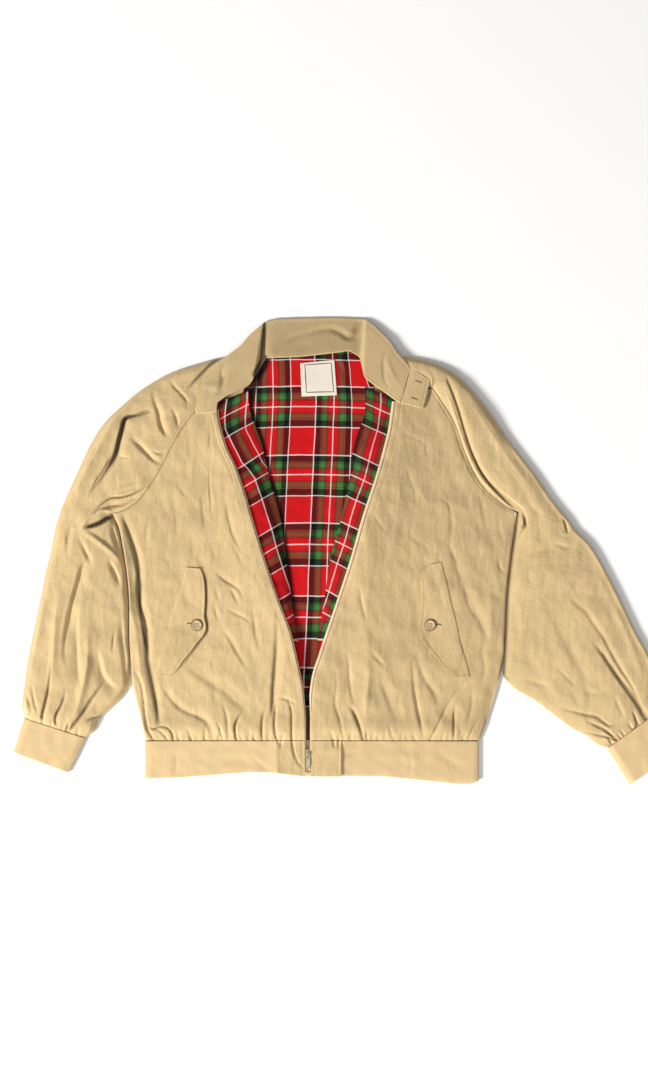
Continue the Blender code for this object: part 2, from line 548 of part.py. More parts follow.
def cuff(name, outside, inside, material):
    """A rib knit cuff: a flattened tube, open at both ends."""
    count = 4
    outer, inner = [], []
    for outer_end, inner_end in zip(curve(outside, count), curve(inside, count)):

        def tops(plan, from_outer, from_inner):
            return RIB_EDGE_TOP + (RIB_TOP - RIB_EDGE_TOP) * rise(from_outer) * rise(from_inner)

        rings = tube_row(outer_end, inner_end, tops, RIB, COLUMN_PITCH, True)
        outer.append(rings[0])
        inner.append(rings[1])
    return wall(name, outer, inner, material, [True] * count)


def back_panel(name, material):
    """The back, flat on the surface, from the waistband's seam to the neck."""
    low, high = np.linspace(0.0, 1.0, 16), np.linspace(0.0, 1.0, 16)[1:]
    right_neck = [RIGHT_RAGLAN[-1], *BACK_NECK_RIGHT]
    left_neck = [LEFT_RAGLAN[-1], *BACK_NECK_LEFT]
    right_edge = two_stretches([RIGHT_SIDE_LOW + RIGHT_SIDE_HIGH], [RIGHT_RAGLAN, right_neck], low, high)
    left_edge = two_stretches([LEFT_SIDE_LOW + LEFT_SIDE_HIGH], [LEFT_RAGLAN, left_neck], low, high)
    inner_right = pulled_in(right_edge, left_edge, SEAM_GAP / 2)
    inner_left = pulled_in(left_edge, right_edge, SEAM_GAP / 2)
    plans = [across(a, b, np.linspace(0.0, np.linalg.norm(b - a), 3)) for a, b in zip(inner_right, inner_left)]
    tops = [np.column_stack([plan, np.full(len(plan), BACK_TOP)]) for plan in plans]
    bottoms = [np.column_stack([plan, np.zeros(len(plan))]) for plan in plans]
    return wall(name, tops, bottoms, material)


def flat_sheet(name, sections, count, columns, top, thickness, material):
    """A flat sheet between the two edges that a table of sections gives."""
    table = np.array(sections, float)
    ends = zip(curve(table[:, :2], count), curve(table[:, 2:], count))
    plans = [across(a, b, np.linspace(0.0, np.linalg.norm(b - a), columns)) for a, b in ends]
    tops = [np.column_stack([plan, np.full(len(plan), top)]) for plan in plans]
    bottoms = [row - [0.0, 0.0, thickness] for row in tops]
    return wall(name, tops, bottoms, material)


def zip_edge_top(edge):
    """Upper side of a front along its zip edge."""
    return shell_top(edge[:, 0], edge[:, 1])


def front_lining(name, sections, material):
    """The lining of a front, rolling from under its zip tape down to the back lining."""
    table = np.array(sections, float)
    count = 17
    at_zip, at_back = curve(table[:, :2], count), curve(table[:, 2:], count)
    start_top = zip_edge_top(at_zip) - SHELL - TAPE_GAP - TAPE - 2 * LAY_GAP
    end_top = LINING_TOP + LAY_GAP + LINING
    tops = []
    for a, b, high in zip(at_zip, at_back, start_top):
        part = np.linspace(0.0, 1.0, 5)
        roll = high + (end_top - high) * part**LINING_ROLL
        tops.append(np.column_stack([across(a, b, part * np.linalg.norm(b - a)), np.maximum(roll, end_top)]))
    bottoms = [row - [0.0, 0.0, LINING] for row in tops]
    return wall(name, tops, bottoms, material)


def zip_tape(name, low, high, inward, shows, material):
    """One side's zip tape, sewn under the front's edge and showing beyond it, down to the hem."""
    edge = np.vstack([curve([(low[0][0], TAPE_FOOT), *low], 18), curve(high, 9)[1:]])
    top = zip_edge_top(edge) - SHELL - TAPE_GAP
    tops = []
    beyond = np.interp(edge[:, 1], *np.array(TAPE_SHOWS, float)[:, [0, shows]].T)
    for point, height, width in zip(edge, top, beyond):
        xs = point[0] + inward * np.array([-TAPE_UNDER, 0.0, width])
        tops.append(np.column_stack([xs, np.full(3, point[1]), np.full(3, height)]))
    bottoms = [row - [0.0, 0.0, TAPE] for row in tops]
    return wall(name, tops, bottoms, material)


def waistband(name, material):
    """The rib waistband: a flattened loop round the back, open in front between the two hem tabs."""
    table = np.array(WAISTBAND, float)
    left_x, right_x = table[0, 0], table[-1, 0]
    columns = 13
    above_left = np.linspace(left_x + EDGE_ROUND, WAIST_ENDS[0], columns)[::-1]
    below = np.linspace(left_x + EDGE_ROUND, right_x - EDGE_ROUND, 9)
    above_right = np.linspace(right_x - EDGE_ROUND, WAIST_ENDS[1], columns)
    rim = EDGE_TOP / 2
    outer, inner = [], []
    for part in np.linspace(0.0, 1.0, 5):
        for rows, inset in ((outer, 0.0), (inner, RIB)):
            x = np.concatenate([above_left, [left_x + inset], below, [right_x - inset], above_right])
            y = np.interp(x, table[:, 0], table[:, 1]) * (1 - part) + np.interp(x, table[:, 0], table[:, 2]) * part
            from_end = np.minimum(x - left_x, right_x - x)
            top = RIB_EDGE_TOP + (RIB_TOP - RIB_EDGE_TOP + fold_height(x, y, RIB_FOLDS)) * rise(from_end)
            z = top - inset
            z[columns] = rim
            z[columns + 1 : columns + 10] = inset
            z[columns + 10] = rim
            rows.append(np.column_stack([x, y, z]))
    return wall(name, outer, inner, material)


def hem_tab(name, left_x, right_x, material):
    """The square of shell cloth at the foot of a front, between the rib and the zip."""
    table = np.array(WAISTBAND, float)
    tops = []
    for part in np.linspace(0.0, 1.0, 5):
        x = np.linspace(left_x, right_x, 8)
        y = np.interp(x, table[:, 0], table[:, 1]) * (1 - part) + (HEM_SEAM - SEAM_GAP) * part
        tops.append(np.column_stack([x, y, np.maximum(shell_top(x, y), TAB_TOP)]))
    bottoms = [row - [0.0, 0.0, SHELL] for row in tops]
    return wall(name, tops, bottoms, material)


def banded_sheet(name, sections, between, columns, thickness, folds, material):
    """A sheet through a table of sections, each with its own heights at both ends."""
    table = np.array(sections, float)
    steps = np.linspace(0, len(table) - 1, (len(table) - 1) * between + 1)
    rows = np.column_stack([np.interp(steps, np.arange(len(table)), column) for column in table.T])
    tops = []
    for row in rows:
        part = np.linspace(0.0, 1.0, columns)[:, None]
        points = row[:3] * (1 - part) + row[3:] * part
        points[:, 2] += fold_height(points[:, 0], points[:, 1], folds)
        tops.append(points)
    bottoms = [np.maximum(row - [0.0, 0.0, thickness], [-np.inf, -np.inf, 0.0]) for row in tops]
    return wall(name, tops, bottoms, material)


def resting_heights(carrier, plan):
    """Where something stiffer rests on a piece: the piece's highest place just round each point."""
    mesh = carrier.data
    tree = BVHTree.FromPolygons([v.co / MM for v in mesh.vertices], [tuple(face.vertices) for face in mesh.polygons])
    steps = [(0.0, 0.0), (FLAP_BRIDGES, 0.0), (-FLAP_BRIDGES, 0.0), (0.0, FLAP_BRIDGES), (0.0, -FLAP_BRIDGES)]
    heights = []
    for x, y in plan:
        hits = [tree.ray_cast((x + step_x, y + step_y, ABOVE_ALL), (0.0, 0.0, -1.0))[0] for step_x, step_y in steps]
        heights.append(max(hit.z for hit in hits if hit))
    return np.array(heights)


def pocket_flap(name, sections, front, material):
    """A pocket flap lying on its front, moved out from the front's own surface."""
    table = np.array(sections, float)
    count = 15
    tops = []
    for a, b in zip(curve(table[:, :2], count), curve(table[:, 2:], count)):
        plan = across(a, b, np.linspace(0.0, np.linalg.norm(b - a), 5))
        free = np.linspace(0.0, 1.0, 5)
        height = resting_heights(front, plan) + FLAP_GAP + FLAP + FLAP_LIFT * free**2
        tops.append(np.column_stack([plan, height]))
    bottoms = [row - [0.0, 0.0, FLAP] for row in tops]
    return wall(name, tops, bottoms, material)


def prism(name, profile, axis, start, end, material):
    """A solid with this profile, pushed from start to end along X, Y or Z. The profile holds the other two axes."""
    vertices = []
    for place in (start, end):
        for first, second in profile:
            spot = [first, second]
            spot.insert("XYZ".index(axis), place)
            vertices.append(spot)
    count = len(profile)
    faces = [tuple(range(count)), tuple(range(count, 2 * count))]
    faces += [(k, (k + 1) % count, count + (k + 1) % count, count + k) for k in range(count)]
    return new_object(name, vertices, faces, material)


def rectangle(low_x, high_x, low_y, high_y):
    return [(low_x, low_y), (high_x, low_y), (high_x, high_y), (low_x, high_y)]


def combine(piece, helper, operation):
    """Joins a helper to a piece, or cuts it out, and hides the helper."""
    modifier = piece.modifiers.new(helper.name, "BOOLEAN")
    modifier.operation = operation
    modifier.solver = "EXACT"
    modifier.object = helper
    helper.hide_render = True
    helper.display_type = "WIRE"


def slider_base():
    """Height of the underside of the slider's upper plate, just above the zip tapes."""
    place = np.array([SLIDER_PLACE])
    return float(zip_edge_top(place)[0]) - SHELL - TAPE_GAP + LAY_GAP


def zip_slider(material):
    """The slider: two plates with a post between the tapes, and a bridge that holds the pull."""
    x, y = SLIDER_PLACE
    low = slider_base()
    high = low + SLIDER_PLATE
    under = low - TAPE - 2 * LAY_GAP
    half, post = SLIDER_WIDTH / 2, SLIDER_POST / 2
    profile = [
        (x - half, under - SLIDER_PLATE), (x + half, under - SLIDER_PLATE), (x + half, under), (x + post, under),
        (x + post, low), (x + half, low), (x + half, high), (x - half, high),
        (x - half, low), (x - post, low), (x - post, under), (x - half, under),
    ]
    body = prism("zip_slider", profile, "Y", y - SLIDER_LENGTH / 2, y + SLIDER_LENGTH / 2, material)
    inside, outside = BRIDGE_HALF, BRIDGE_HALF + BRIDGE_WALL
    roof, sunk = high + BRIDGE_INSIDE, high - BRIDGE_SUNK
    top, narrow = roof + BRIDGE_WALL, outside - BRIDGE_CHAMFER
    arch = [
        (y - outside, sunk), (y - inside, sunk), (y - inside, roof), (y + inside, roof), (y + inside, sunk),
        (y + outside, sunk), (y + outside, roof), (y + narrow, top), (y - narrow, top), (y - outside, roof),
    ]
    bridge = prism("slider_bridge", arch, "X", x - BRIDGE_WIDTH / 2, x + BRIDGE_WIDTH / 2, material)
    combine(body, bridge, "UNION")
    return body


def zip_pull(material):
    """The pull: a flat tab with an eye round the bridge, hung on the bar that turns under it. Its origin is that bar."""
    bar, half = PULL_BAR / 2, PULL_WIDTH / 2
    tip = -PULL_LENGTH
    narrow, shoulder = half - PULL_CORNER[0], tip + PULL_CORNER[1]
    outline = [(-half, bar), (-half, shoulder), (-narrow, tip), (narrow, tip), (half, shoulder), (half, bar)]
    pull = prism("zip_pull", outline, "Z", -bar, bar, material)
    eye_width, eye_length = PULL_EYE
    eye = prism(
        "pull_eye", rectangle(-eye_width / 2, eye_width / 2, -bar - eye_length, -bar), "Z", -2 * bar, 2 * bar, material
    )
    combine(pull, eye, "DIFFERENCE")
    hinge = (SLIDER_PLACE[0] * MM, SLIDER_PLACE[1] * MM, (slider_base() + SLIDER_PLATE + BRIDGE_INSIDE / 2) * MM)
    pull.location = hinge
    eye.location = hinge
    return pull


def flap_button(name, place, flap, material):
    """A four-hole button on a flap, turned with a raised rim round a dished middle."""
    sides = 16
    turns = np.linspace(0.0, 2 * math.pi, sides, endpoint=False)
    rim_in = BUTTON_RADIUS - BUTTON_RIM
    profile = [(BUTTON_RADIUS - BUTTON_FOOT[0], 0.0), (BUTTON_RADIUS, BUTTON_FOOT[1]),
               (BUTTON_RADIUS - BUTTON_LIP, BUTTON_HEIGHT), (rim_in, BUTTON_HEIGHT),
               (rim_in - BUTTON_DISH, BUTTON_HEIGHT - BUTTON_DISH)]
    base = float(resting_heights(flap, [place])[0]) + LAY_GAP
    vertices = [
        (place[0] + radius * math.cos(turn), place[1] + radius * math.sin(turn), base + height)
        for radius, height in profile
        for turn in turns
    ]
    faces = [tuple(range(sides)), tuple(range((len(profile) - 1) * sides, len(profile) * sides))]
    for ring in range(len(profile) - 1):
        for k in range(sides):
            following = (k + 1) % sides
            a, b = ring * sides, (ring + 1) * sides
            faces.append((a + k, a + following, b + following, b + k))
    button = new_object(name, vertices, faces, material)
    for k, (side_x, side_y) in enumerate(((-1, -1), (1, -1), (1, 1), (-1, 1))):
        centre = (place[0] + side_x * BUTTON_HOLE_OUT, place[1] + side_y * BUTTON_HOLE_OUT)
        ring = [
            (centre[0] + BUTTON_HOLE * math.cos(turn), centre[1] + BUTTON_HOLE * math.sin(turn))
            for turn in np.linspace(0.0, 2 * math.pi, 6, endpoint=False)
        ]
        hole = prism(f"{name}_hole_{k}", ring, "Z", base - 2.0, base + BUTTON_HEIGHT + 2.0, material)
        combine(button, hole, "DIFFERENCE")
    return button


def material(name, colour, roughness, metallic=0.0):
    """A plain material with this colour."""
    made = bpy.data.materials.new(name)
    made.use_nodes = True
    shader = made.node_tree.nodes["Principled BSDF"]
    shader.inputs["Base Color"].default_value = (*colour, 1.0)
    shader.inputs["Roughness"].default_value = roughness
    shader.inputs["Metallic"].default_value = metallic
    return made


def build():
    """Makes every piece of the jacket."""
    for old in list(bpy.data.objects):
        bpy.data.objects.remove(old, do_unlink=True)
    shell = material("cotton_shell", TAN, 0.85)
    rib = material("rib_knit", RIB_TAN, 0.95)
    tartan = material("tartan_lining", TARTAN_RED, 0.9)
    cream = material("label_cloth", CREAM, 0.8)
    brass = material("zip_metal", BRASS, 0.35, 1.0)
    tape = material("zip_tape", TAPE_TAN, 0.9)
    horn = material("button_horn", HORN, 0.4)

    back_panel("back", shell)
    flat_sheet("back_lining", BACK_LINING, 24, 3, LINING_TOP, LINING, tartan)
    label_top = LINING_TOP + LAY_GAP + LABEL
    flat_sheet("neck_label", NECK_LABEL, 2, 2, label_top, LABEL, cream)

    right_side = RIGHT_SIDE_LOW + RIGHT_SIDE_HIGH
    left_side = LEFT_SIDE_LOW + LEFT_SIDE_HIGH
    right_front = front_panel("right_front", right_side, RIGHT_RAGLAN, RIGHT_ZIP_LOW, RIGHT_ZIP_HIGH, shell)
    left_front = front_panel("left_front", left_side, LEFT_RAGLAN, LEFT_ZIP_LOW, LEFT_ZIP_HIGH, shell)
    front_lining("right_front_lining", RIGHT_FRONT_LINING, tartan)
    front_lining("left_front_lining", LEFT_FRONT_LINING, tartan)

    sleeve("right_sleeve", RIGHT_SLEEVE_OUT_LOW, RIGHT_SLEEVE_OUT_HIGH, RIGHT_UNDERARM, RIGHT_SIDE_HIGH,
           RIGHT_RAGLAN, RIGHT_SLEEVE_NECK, shell)
    sleeve("left_sleeve", LEFT_SLEEVE_OUT_LOW, LEFT_SLEEVE_OUT_HIGH, LEFT_UNDERARM, LEFT_SIDE_HIGH,
           LEFT_RAGLAN, LEFT_SLEEVE_NECK, shell)
    cuff("right_cuff", RIGHT_CUFF_OUT, RIGHT_CUFF_IN, rib)
    cuff("left_cuff", LEFT_CUFF_OUT, LEFT_CUFF_IN, rib)
    waistband("waistband", rib)
    hem_tab("right_hem_tab", -104.8, -63.0, shell)
    hem_tab("left_hem_tab", -54.0, -9.2, shell)

    banded_sheet("collar", COLLAR_SECTIONS, 1, 7, COLLAR, COLLAR_FOLDS, shell)
    banded_sheet("collar_tab", TAB_SECTIONS, 3, 4, COLLAR, [], shell)
    right_flap = pocket_flap("right_pocket_flap", RIGHT_FLAP, right_front, shell)
    left_flap = pocket_flap("left_pocket_flap", LEFT_FLAP, left_front, shell)
    flap_button("right_flap_button", RIGHT_BUTTON, right_flap, horn)
    flap_button("left_flap_button", LEFT_BUTTON, left_flap, horn)

    zip_tape("right_zip_tape", RIGHT_ZIP_LOW, RIGHT_ZIP_HIGH, 1.0, 1, tape)
    zip_tape("left_zip_tape", LEFT_ZIP_LOW, LEFT_ZIP_HIGH, -1.0, 2, tape)
    zip_slider(brass)
    zip_pull(brass)


build()
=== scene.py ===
# %% [markdown]
# # A harrington jacket, laid out flat
#
# The jacket lies on its back with its zip open. Cloth is never flat: it rolls at its edges, puckers where it is
# gathered into a tighter band, and keeps soft creases from being worn. Each piece here is a thin wall of cloth on
# the form that the imported model gives it, with those creases added, and then a woven or knitted finish.
#
# First the imported model is loaded. It fixes the size and place of everything, so its box is kept and written out at
# the end beside the dressed jacket's box.

# %% load the imported model
import sys

import json
import math

import bpy
import numpy as np
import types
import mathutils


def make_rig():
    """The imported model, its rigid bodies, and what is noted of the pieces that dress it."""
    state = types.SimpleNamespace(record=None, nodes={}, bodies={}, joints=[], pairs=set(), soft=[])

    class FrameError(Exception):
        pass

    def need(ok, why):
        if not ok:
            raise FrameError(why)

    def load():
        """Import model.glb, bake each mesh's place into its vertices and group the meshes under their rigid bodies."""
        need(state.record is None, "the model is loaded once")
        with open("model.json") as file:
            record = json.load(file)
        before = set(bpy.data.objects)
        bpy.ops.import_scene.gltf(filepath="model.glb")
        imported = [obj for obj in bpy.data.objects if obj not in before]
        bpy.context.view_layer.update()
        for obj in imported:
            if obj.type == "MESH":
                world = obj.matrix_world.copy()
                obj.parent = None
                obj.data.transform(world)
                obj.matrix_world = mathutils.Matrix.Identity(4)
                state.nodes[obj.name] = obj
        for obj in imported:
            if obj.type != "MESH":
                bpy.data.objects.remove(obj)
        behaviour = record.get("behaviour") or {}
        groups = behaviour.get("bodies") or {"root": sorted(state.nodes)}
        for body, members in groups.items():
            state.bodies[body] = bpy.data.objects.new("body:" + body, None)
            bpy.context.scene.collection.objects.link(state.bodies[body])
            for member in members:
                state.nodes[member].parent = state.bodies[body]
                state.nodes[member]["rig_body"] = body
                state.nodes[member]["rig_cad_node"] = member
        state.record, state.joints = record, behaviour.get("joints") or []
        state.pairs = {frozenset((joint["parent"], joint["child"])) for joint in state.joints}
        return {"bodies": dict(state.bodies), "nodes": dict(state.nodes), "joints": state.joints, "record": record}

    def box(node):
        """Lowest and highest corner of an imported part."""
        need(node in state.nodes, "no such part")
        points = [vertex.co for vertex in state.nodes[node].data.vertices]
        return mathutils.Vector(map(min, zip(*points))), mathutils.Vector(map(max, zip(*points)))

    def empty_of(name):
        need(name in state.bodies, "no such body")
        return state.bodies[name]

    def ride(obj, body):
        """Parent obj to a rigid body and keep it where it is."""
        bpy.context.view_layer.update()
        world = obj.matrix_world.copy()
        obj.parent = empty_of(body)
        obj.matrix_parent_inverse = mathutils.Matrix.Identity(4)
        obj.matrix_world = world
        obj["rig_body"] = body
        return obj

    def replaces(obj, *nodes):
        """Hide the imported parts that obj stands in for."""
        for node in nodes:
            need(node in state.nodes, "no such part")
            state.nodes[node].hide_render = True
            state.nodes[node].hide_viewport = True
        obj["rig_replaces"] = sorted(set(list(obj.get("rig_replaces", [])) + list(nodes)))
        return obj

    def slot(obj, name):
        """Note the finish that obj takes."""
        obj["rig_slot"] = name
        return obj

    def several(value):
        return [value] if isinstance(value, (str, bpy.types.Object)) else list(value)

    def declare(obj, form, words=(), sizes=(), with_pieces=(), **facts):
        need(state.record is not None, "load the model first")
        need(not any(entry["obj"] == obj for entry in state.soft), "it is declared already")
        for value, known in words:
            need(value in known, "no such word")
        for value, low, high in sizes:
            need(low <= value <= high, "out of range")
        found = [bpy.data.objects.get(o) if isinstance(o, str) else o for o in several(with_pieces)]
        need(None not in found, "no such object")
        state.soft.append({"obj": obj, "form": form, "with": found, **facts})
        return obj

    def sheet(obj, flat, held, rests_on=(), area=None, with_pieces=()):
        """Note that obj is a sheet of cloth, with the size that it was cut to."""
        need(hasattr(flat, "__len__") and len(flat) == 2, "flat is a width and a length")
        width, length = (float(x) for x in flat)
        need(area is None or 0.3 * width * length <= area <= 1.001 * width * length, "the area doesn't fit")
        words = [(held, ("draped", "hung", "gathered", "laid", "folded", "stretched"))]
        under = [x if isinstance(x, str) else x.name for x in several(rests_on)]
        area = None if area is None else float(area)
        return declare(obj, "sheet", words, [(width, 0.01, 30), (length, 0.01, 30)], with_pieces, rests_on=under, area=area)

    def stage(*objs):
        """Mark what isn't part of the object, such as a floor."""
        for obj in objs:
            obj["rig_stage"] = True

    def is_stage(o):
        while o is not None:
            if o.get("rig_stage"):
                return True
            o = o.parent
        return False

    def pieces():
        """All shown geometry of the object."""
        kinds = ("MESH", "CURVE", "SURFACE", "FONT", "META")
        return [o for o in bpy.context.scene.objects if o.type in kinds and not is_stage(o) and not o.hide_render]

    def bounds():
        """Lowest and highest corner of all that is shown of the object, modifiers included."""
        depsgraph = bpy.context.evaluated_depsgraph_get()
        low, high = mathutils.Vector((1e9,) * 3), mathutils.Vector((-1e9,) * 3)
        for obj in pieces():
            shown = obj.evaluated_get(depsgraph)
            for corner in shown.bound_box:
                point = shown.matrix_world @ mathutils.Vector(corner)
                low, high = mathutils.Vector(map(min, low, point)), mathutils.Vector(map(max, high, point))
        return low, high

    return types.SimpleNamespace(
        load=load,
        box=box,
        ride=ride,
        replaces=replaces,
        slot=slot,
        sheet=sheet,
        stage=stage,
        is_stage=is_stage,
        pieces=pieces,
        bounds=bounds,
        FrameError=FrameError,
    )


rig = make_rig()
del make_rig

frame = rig.load()
CAD_BOX = [list(corner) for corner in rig.bounds()]
MM = 0.001
print("bodies:", frame["bodies"])
print("box of the solids in metres:", CAD_BOX)

# %% [markdown]
# ## The pattern pieces in plan
#
# A tailor draws each piece's outline before anything else. Here every edge is a short list of points in millimetres:
# X runs across the jacket, Y from the hem towards the collar. Two pieces that are sewn together share one list, so
# their seam can't gape. Right and left are the wearer's, so the right side lies at negative X.

# %% edges of the shell pieces
RIGHT_SIDE_LOW = [(-304, -284), (-310, -254), (-316, -230), (-322, -204)]
RIGHT_SIDE_HIGH = [(-326, -164), (-328, -126), (-328, -74), (-336, -3), (-346, 42), (-352, 56)]
RIGHT_RAGLAN = [(-352, 56), (-334, 61), (-312, 76), (-296, 98), (-279, 126), (-262, 159), (-243, 190), (-219, 220)]
RIGHT_ZIP_LOW = [(-63, -284), (-63, -250), (-65, -226), (-68, -202), (-76, -164), (-86, -122), (-104, -74),
                 (-128, -3), (-141, 40), (-146, 56)]
RIGHT_ZIP_HIGH = [(-146, 56), (-153, 82), (-159, 100), (-168, 126), (-182, 156), (-190, 182), (-194, 200), (-195, 212)]
LEFT_SIDE_LOW = [(200, -284), (210, -256), (218, -231), (225, -208), (230, -189)]
LEFT_SIDE_HIGH = [(236, -160), (238, -124), (240, -74), (246, -14), (253, 36), (255, 57)]
LEFT_RAGLAN = [(255, 57), (242, 64), (224, 76), (200, 100), (184, 130), (173, 158), (164, 184), (150, 210), (128, 244)]
LEFT_ZIP_LOW = [(-54, -284), (-54, -256), (-53, -231), (-51, -206), (-46, -180), (-39, -160), (-27, -124),
                (-10, -74), (12, -6), (26, 44), (30, 57)]
LEFT_ZIP_HIGH = [(30, 57), (38, 81), (46, 105), (54, 132), (61, 158), (67, 182), (70, 202), (73, 224)]
RIGHT_SLEEVE_OUT_LOW = [(-484, -250), (-488, -232), (-486, -213), (-482, -184), (-476, -148), (-469, -114),
                        (-462, -81), (-453, -36), (-445, -2), (-438, 33), (-429, 63)]
RIGHT_SLEEVE_OUT_HIGH = [(-429, 63), (-416, 93), (-400, 128), (-386, 158), (-366, 190), (-340, 216), (-303, 246),
                         (-268, 265), (-236, 276), (-206, 285), (-182, 291), (-164, 298)]
RIGHT_UNDERARM = [(-392, -280), (-379, -270), (-372, -254), (-356, -238), (-338, -221), (-327, -204)]
RIGHT_SLEEVE_NECK = [(-208, 232), (-192, 243)]
LEFT_SLEEVE_OUT_LOW = [(460, -246), (467, -226), (469, -206), (462, -178), (450, -152), (435, -126), (416, -86),
                       (392, -38), (362, 12), (340, 34), (334, 44), (322, 58), (304, 81)]
LEFT_SLEEVE_OUT_HIGH = [(304, 81), (284, 111), (261, 141), (238, 172), (218, 202), (196, 231), (178, 251), (159, 267),
                        (140, 278), (120, 285), (94, 291), (80, 293)]
LEFT_UNDERARM = [(390, -296), (375, -290), (360, -278), (338, -267), (314, -249), (282, -225), (248, -204), (234, -188)]
LEFT_SLEEVE_NECK = [(100, 250)]
RIGHT_CUFF_OUT = [(-501, -302), (-493, -276), (-484.5, -250.5)]
RIGHT_CUFF_IN = [(-418, -333), (-404, -306), (-392.5, -280.5)]
LEFT_CUFF_OUT = [(498, -298), (479, -273), (460.5, -246.5)]
LEFT_CUFF_IN = [(424, -351), (407, -323), (390.5, -296.5)]
BACK_NECK_RIGHT = [(-190, 245), (-176, 271), (-162, 296)]
BACK_NECK_LEFT = [(97, 247), (86, 270), (74, 291)]
# the waistband as (x, y of its lower fold, y of its seam)
WAISTBAND = [(-304, -342, -285), (-250, -340, -284.6), (-198, -336, -284.6), (-146, -332, -284.6), (-105, -333, -284.6),
             (-63, -338, -284.6), (-9, -338, -284.6), (50, -338, -284.6), (110, -344, -284.6), (170, -350, -285),
             (184, -350, -285), (198, -345, -285)]
WAIST_ENDS = (-105.6, -8.4)  # x where its front layer stops, beside the hem tabs
RIGHT_BUTTON, LEFT_BUTTON, PULL = (-225, -111), (124.5, -111), (-58.5, -304)
SEAM_GAP = 0.4  # how far a piece stays back from the line of its seam
print("edge lists:", sum(isinstance(value, list) and key.isupper() for key, value in list(globals().items())))

# %% [markdown]
# A list of points becomes a smooth line by Hermite's formula: between two points the line leaves and arrives along
# the slope of their neighbours. Sampling it at equal steps of its length keeps the cloth's mesh even.

# %% smooth lines
def smooth_line(points, count=400):
    """Hermite line: h00*p0 + h10*span*m0 + h01*p1 + h11*span*m1, then resampled at equal steps of its length."""
    knots = np.array(points, float)
    chord = run_along(knots[:, :2])
    slopes = np.gradient(knots, chord, axis=0)
    t = np.linspace(0.0, chord[-1], 900)
    i = np.clip(np.searchsorted(chord, t, side="right") - 1, 0, len(chord) - 2)
    span = (chord[i + 1] - chord[i])[:, None]
    u = (t[:, None] - chord[i][:, None]) / span
    fine = (
        (2 * u**3 - 3 * u**2 + 1) * knots[i]
        + (u**3 - 2 * u**2 + u) * span * slopes[i]
        + (3 * u**2 - 2 * u**3) * knots[i + 1]
        + (u**3 - u**2) * span * slopes[i + 1]
    )
    return resample(fine, np.linspace(0.0, 1.0, count))


def run_along(line):
    """Length of the line up to each of its points."""
    return np.concatenate([[0.0], np.cumsum(np.linalg.norm(np.diff(line, axis=0), axis=1))])


def resample(line, fractions):
    """Point at fraction f: each coordinate interpolated at f times the line's length in plan."""
    run = run_along(line[:, :2])
    return np.column_stack([np.interp(np.asarray(fractions) * run[-1], run, column) for column in line.T])


def length_of(points):
    """Sum of the straight steps between the points."""
    return float(np.linalg.norm(np.diff(np.array(points, float)[:, :2], axis=0), axis=1).sum())


def two_edges(table):
    """A piece's two long edges, from rows of x, y, x, y."""
    return smooth_line(table[:, :2]), smooth_line(table[:, 2:])


def pulled_in(edge, other, gap):
    """Each point moved by gap along the edge's normal, towards the other edge."""
    along = np.gradient(edge, axis=0)
    along /= np.linalg.norm(along, axis=1)[:, None]
    square = np.column_stack([-along[:, 1], along[:, 0]])
    inward = np.sign(np.sum(square * (other - edge), axis=1))
    return edge + square * inward[:, None] * gap


print("right raglan seam:", round(length_of(smooth_line(RIGHT_RAGLAN))), "mm")

# %% [markdown]
# ## Folds
#
# A fold is a line on the cloth that stands up as a ridge or sinks as a trough and fades away on both sides and at
# its ends. Sculpting would also work, but a table of lines says where each fold is and how deep, and can be tuned.
# A crease that was pressed in has a sharp bottom, a wave that only hangs is round: the column *sharp* mixes the two.
# Cloth that hangs over a crease has one steep wall and one gentle one, so each row has a reach for either side.

# %% folds from tables
def drawn(rows):
    """Each row (left, right, sharp, points) with its points as a smooth line. A point without a height is at 0."""
    return [(left, right, sharp, smooth_line([(*point, 0)[:3] for point in points], 7 * len(points)))
            for left, right, sharp, *points in rows]


def softer(lines, gain, edge):
    """The same lines, with the height of those that aren't sharp times gain, and all a little sharper."""
    return [(left, right, min(1.0, sharp + edge), line * [1, 1, gain if sharp < 0.5 else 1.0])
            for left, right, sharp, line in lines]


def folds(x, y, lines, least=0.0):
    """Sum over lines of height * bell(d / reach), with d the distance from the line and its height at that place.

    With b = 1 - d / reach, bell is b*b*(3 - 2b) for a round fold and b*b, which has a cusp, for a sharp one. The
    reach is another one on either side of the line. With `least`, both are the smaller reach times that number.
    """
    total = np.zeros_like(x)
    for left, right, sharp, line in lines:
        if least:
            left = right = least * min(left, right)
            sharp = 0.0
        reach = max(left, right)
        low, high = line.min(axis=0) - reach, line.max(axis=0) + reach
        near = (x > low[0]) & (x < high[0]) & (y > low[1]) & (y < high[1])
        if not near.any():
            continue
        step = np.diff(line, axis=0)
        away_x, away_y = x[near][:, None] - line[:-1, 0], y[near][:, None] - line[:-1, 1]
        part = (away_x * step[:, 0] + away_y * step[:, 1]) / (step[:, 0] ** 2 + step[:, 1] ** 2)
        part = np.clip(part, 0.0, 1.0)
        away_x -= part * step[:, 0]
        away_y -= part * step[:, 1]
        distance = np.hypot(away_x, away_y)
        nearest = distance.argmin(axis=1)
        pick = np.arange(len(nearest)), nearest
        side = step[nearest, 0] * away_y[pick] - step[nearest, 1] * away_x[pick]
        height = line[nearest, 2] + part[pick] * step[nearest, 2]
        b = np.clip(1.0 - distance[pick] / np.where(side > 0, left, right), 0.0, 1.0)
        total[near] += height * ((1 - sharp) * b * b * (3 - 2 * b) + sharp * b * b)
    return total


def hump(distance, width):
    """exp(-(distance / width)^2): 1 in the middle, falling away on both sides."""
    return np.exp(-((distance / width) ** 2))


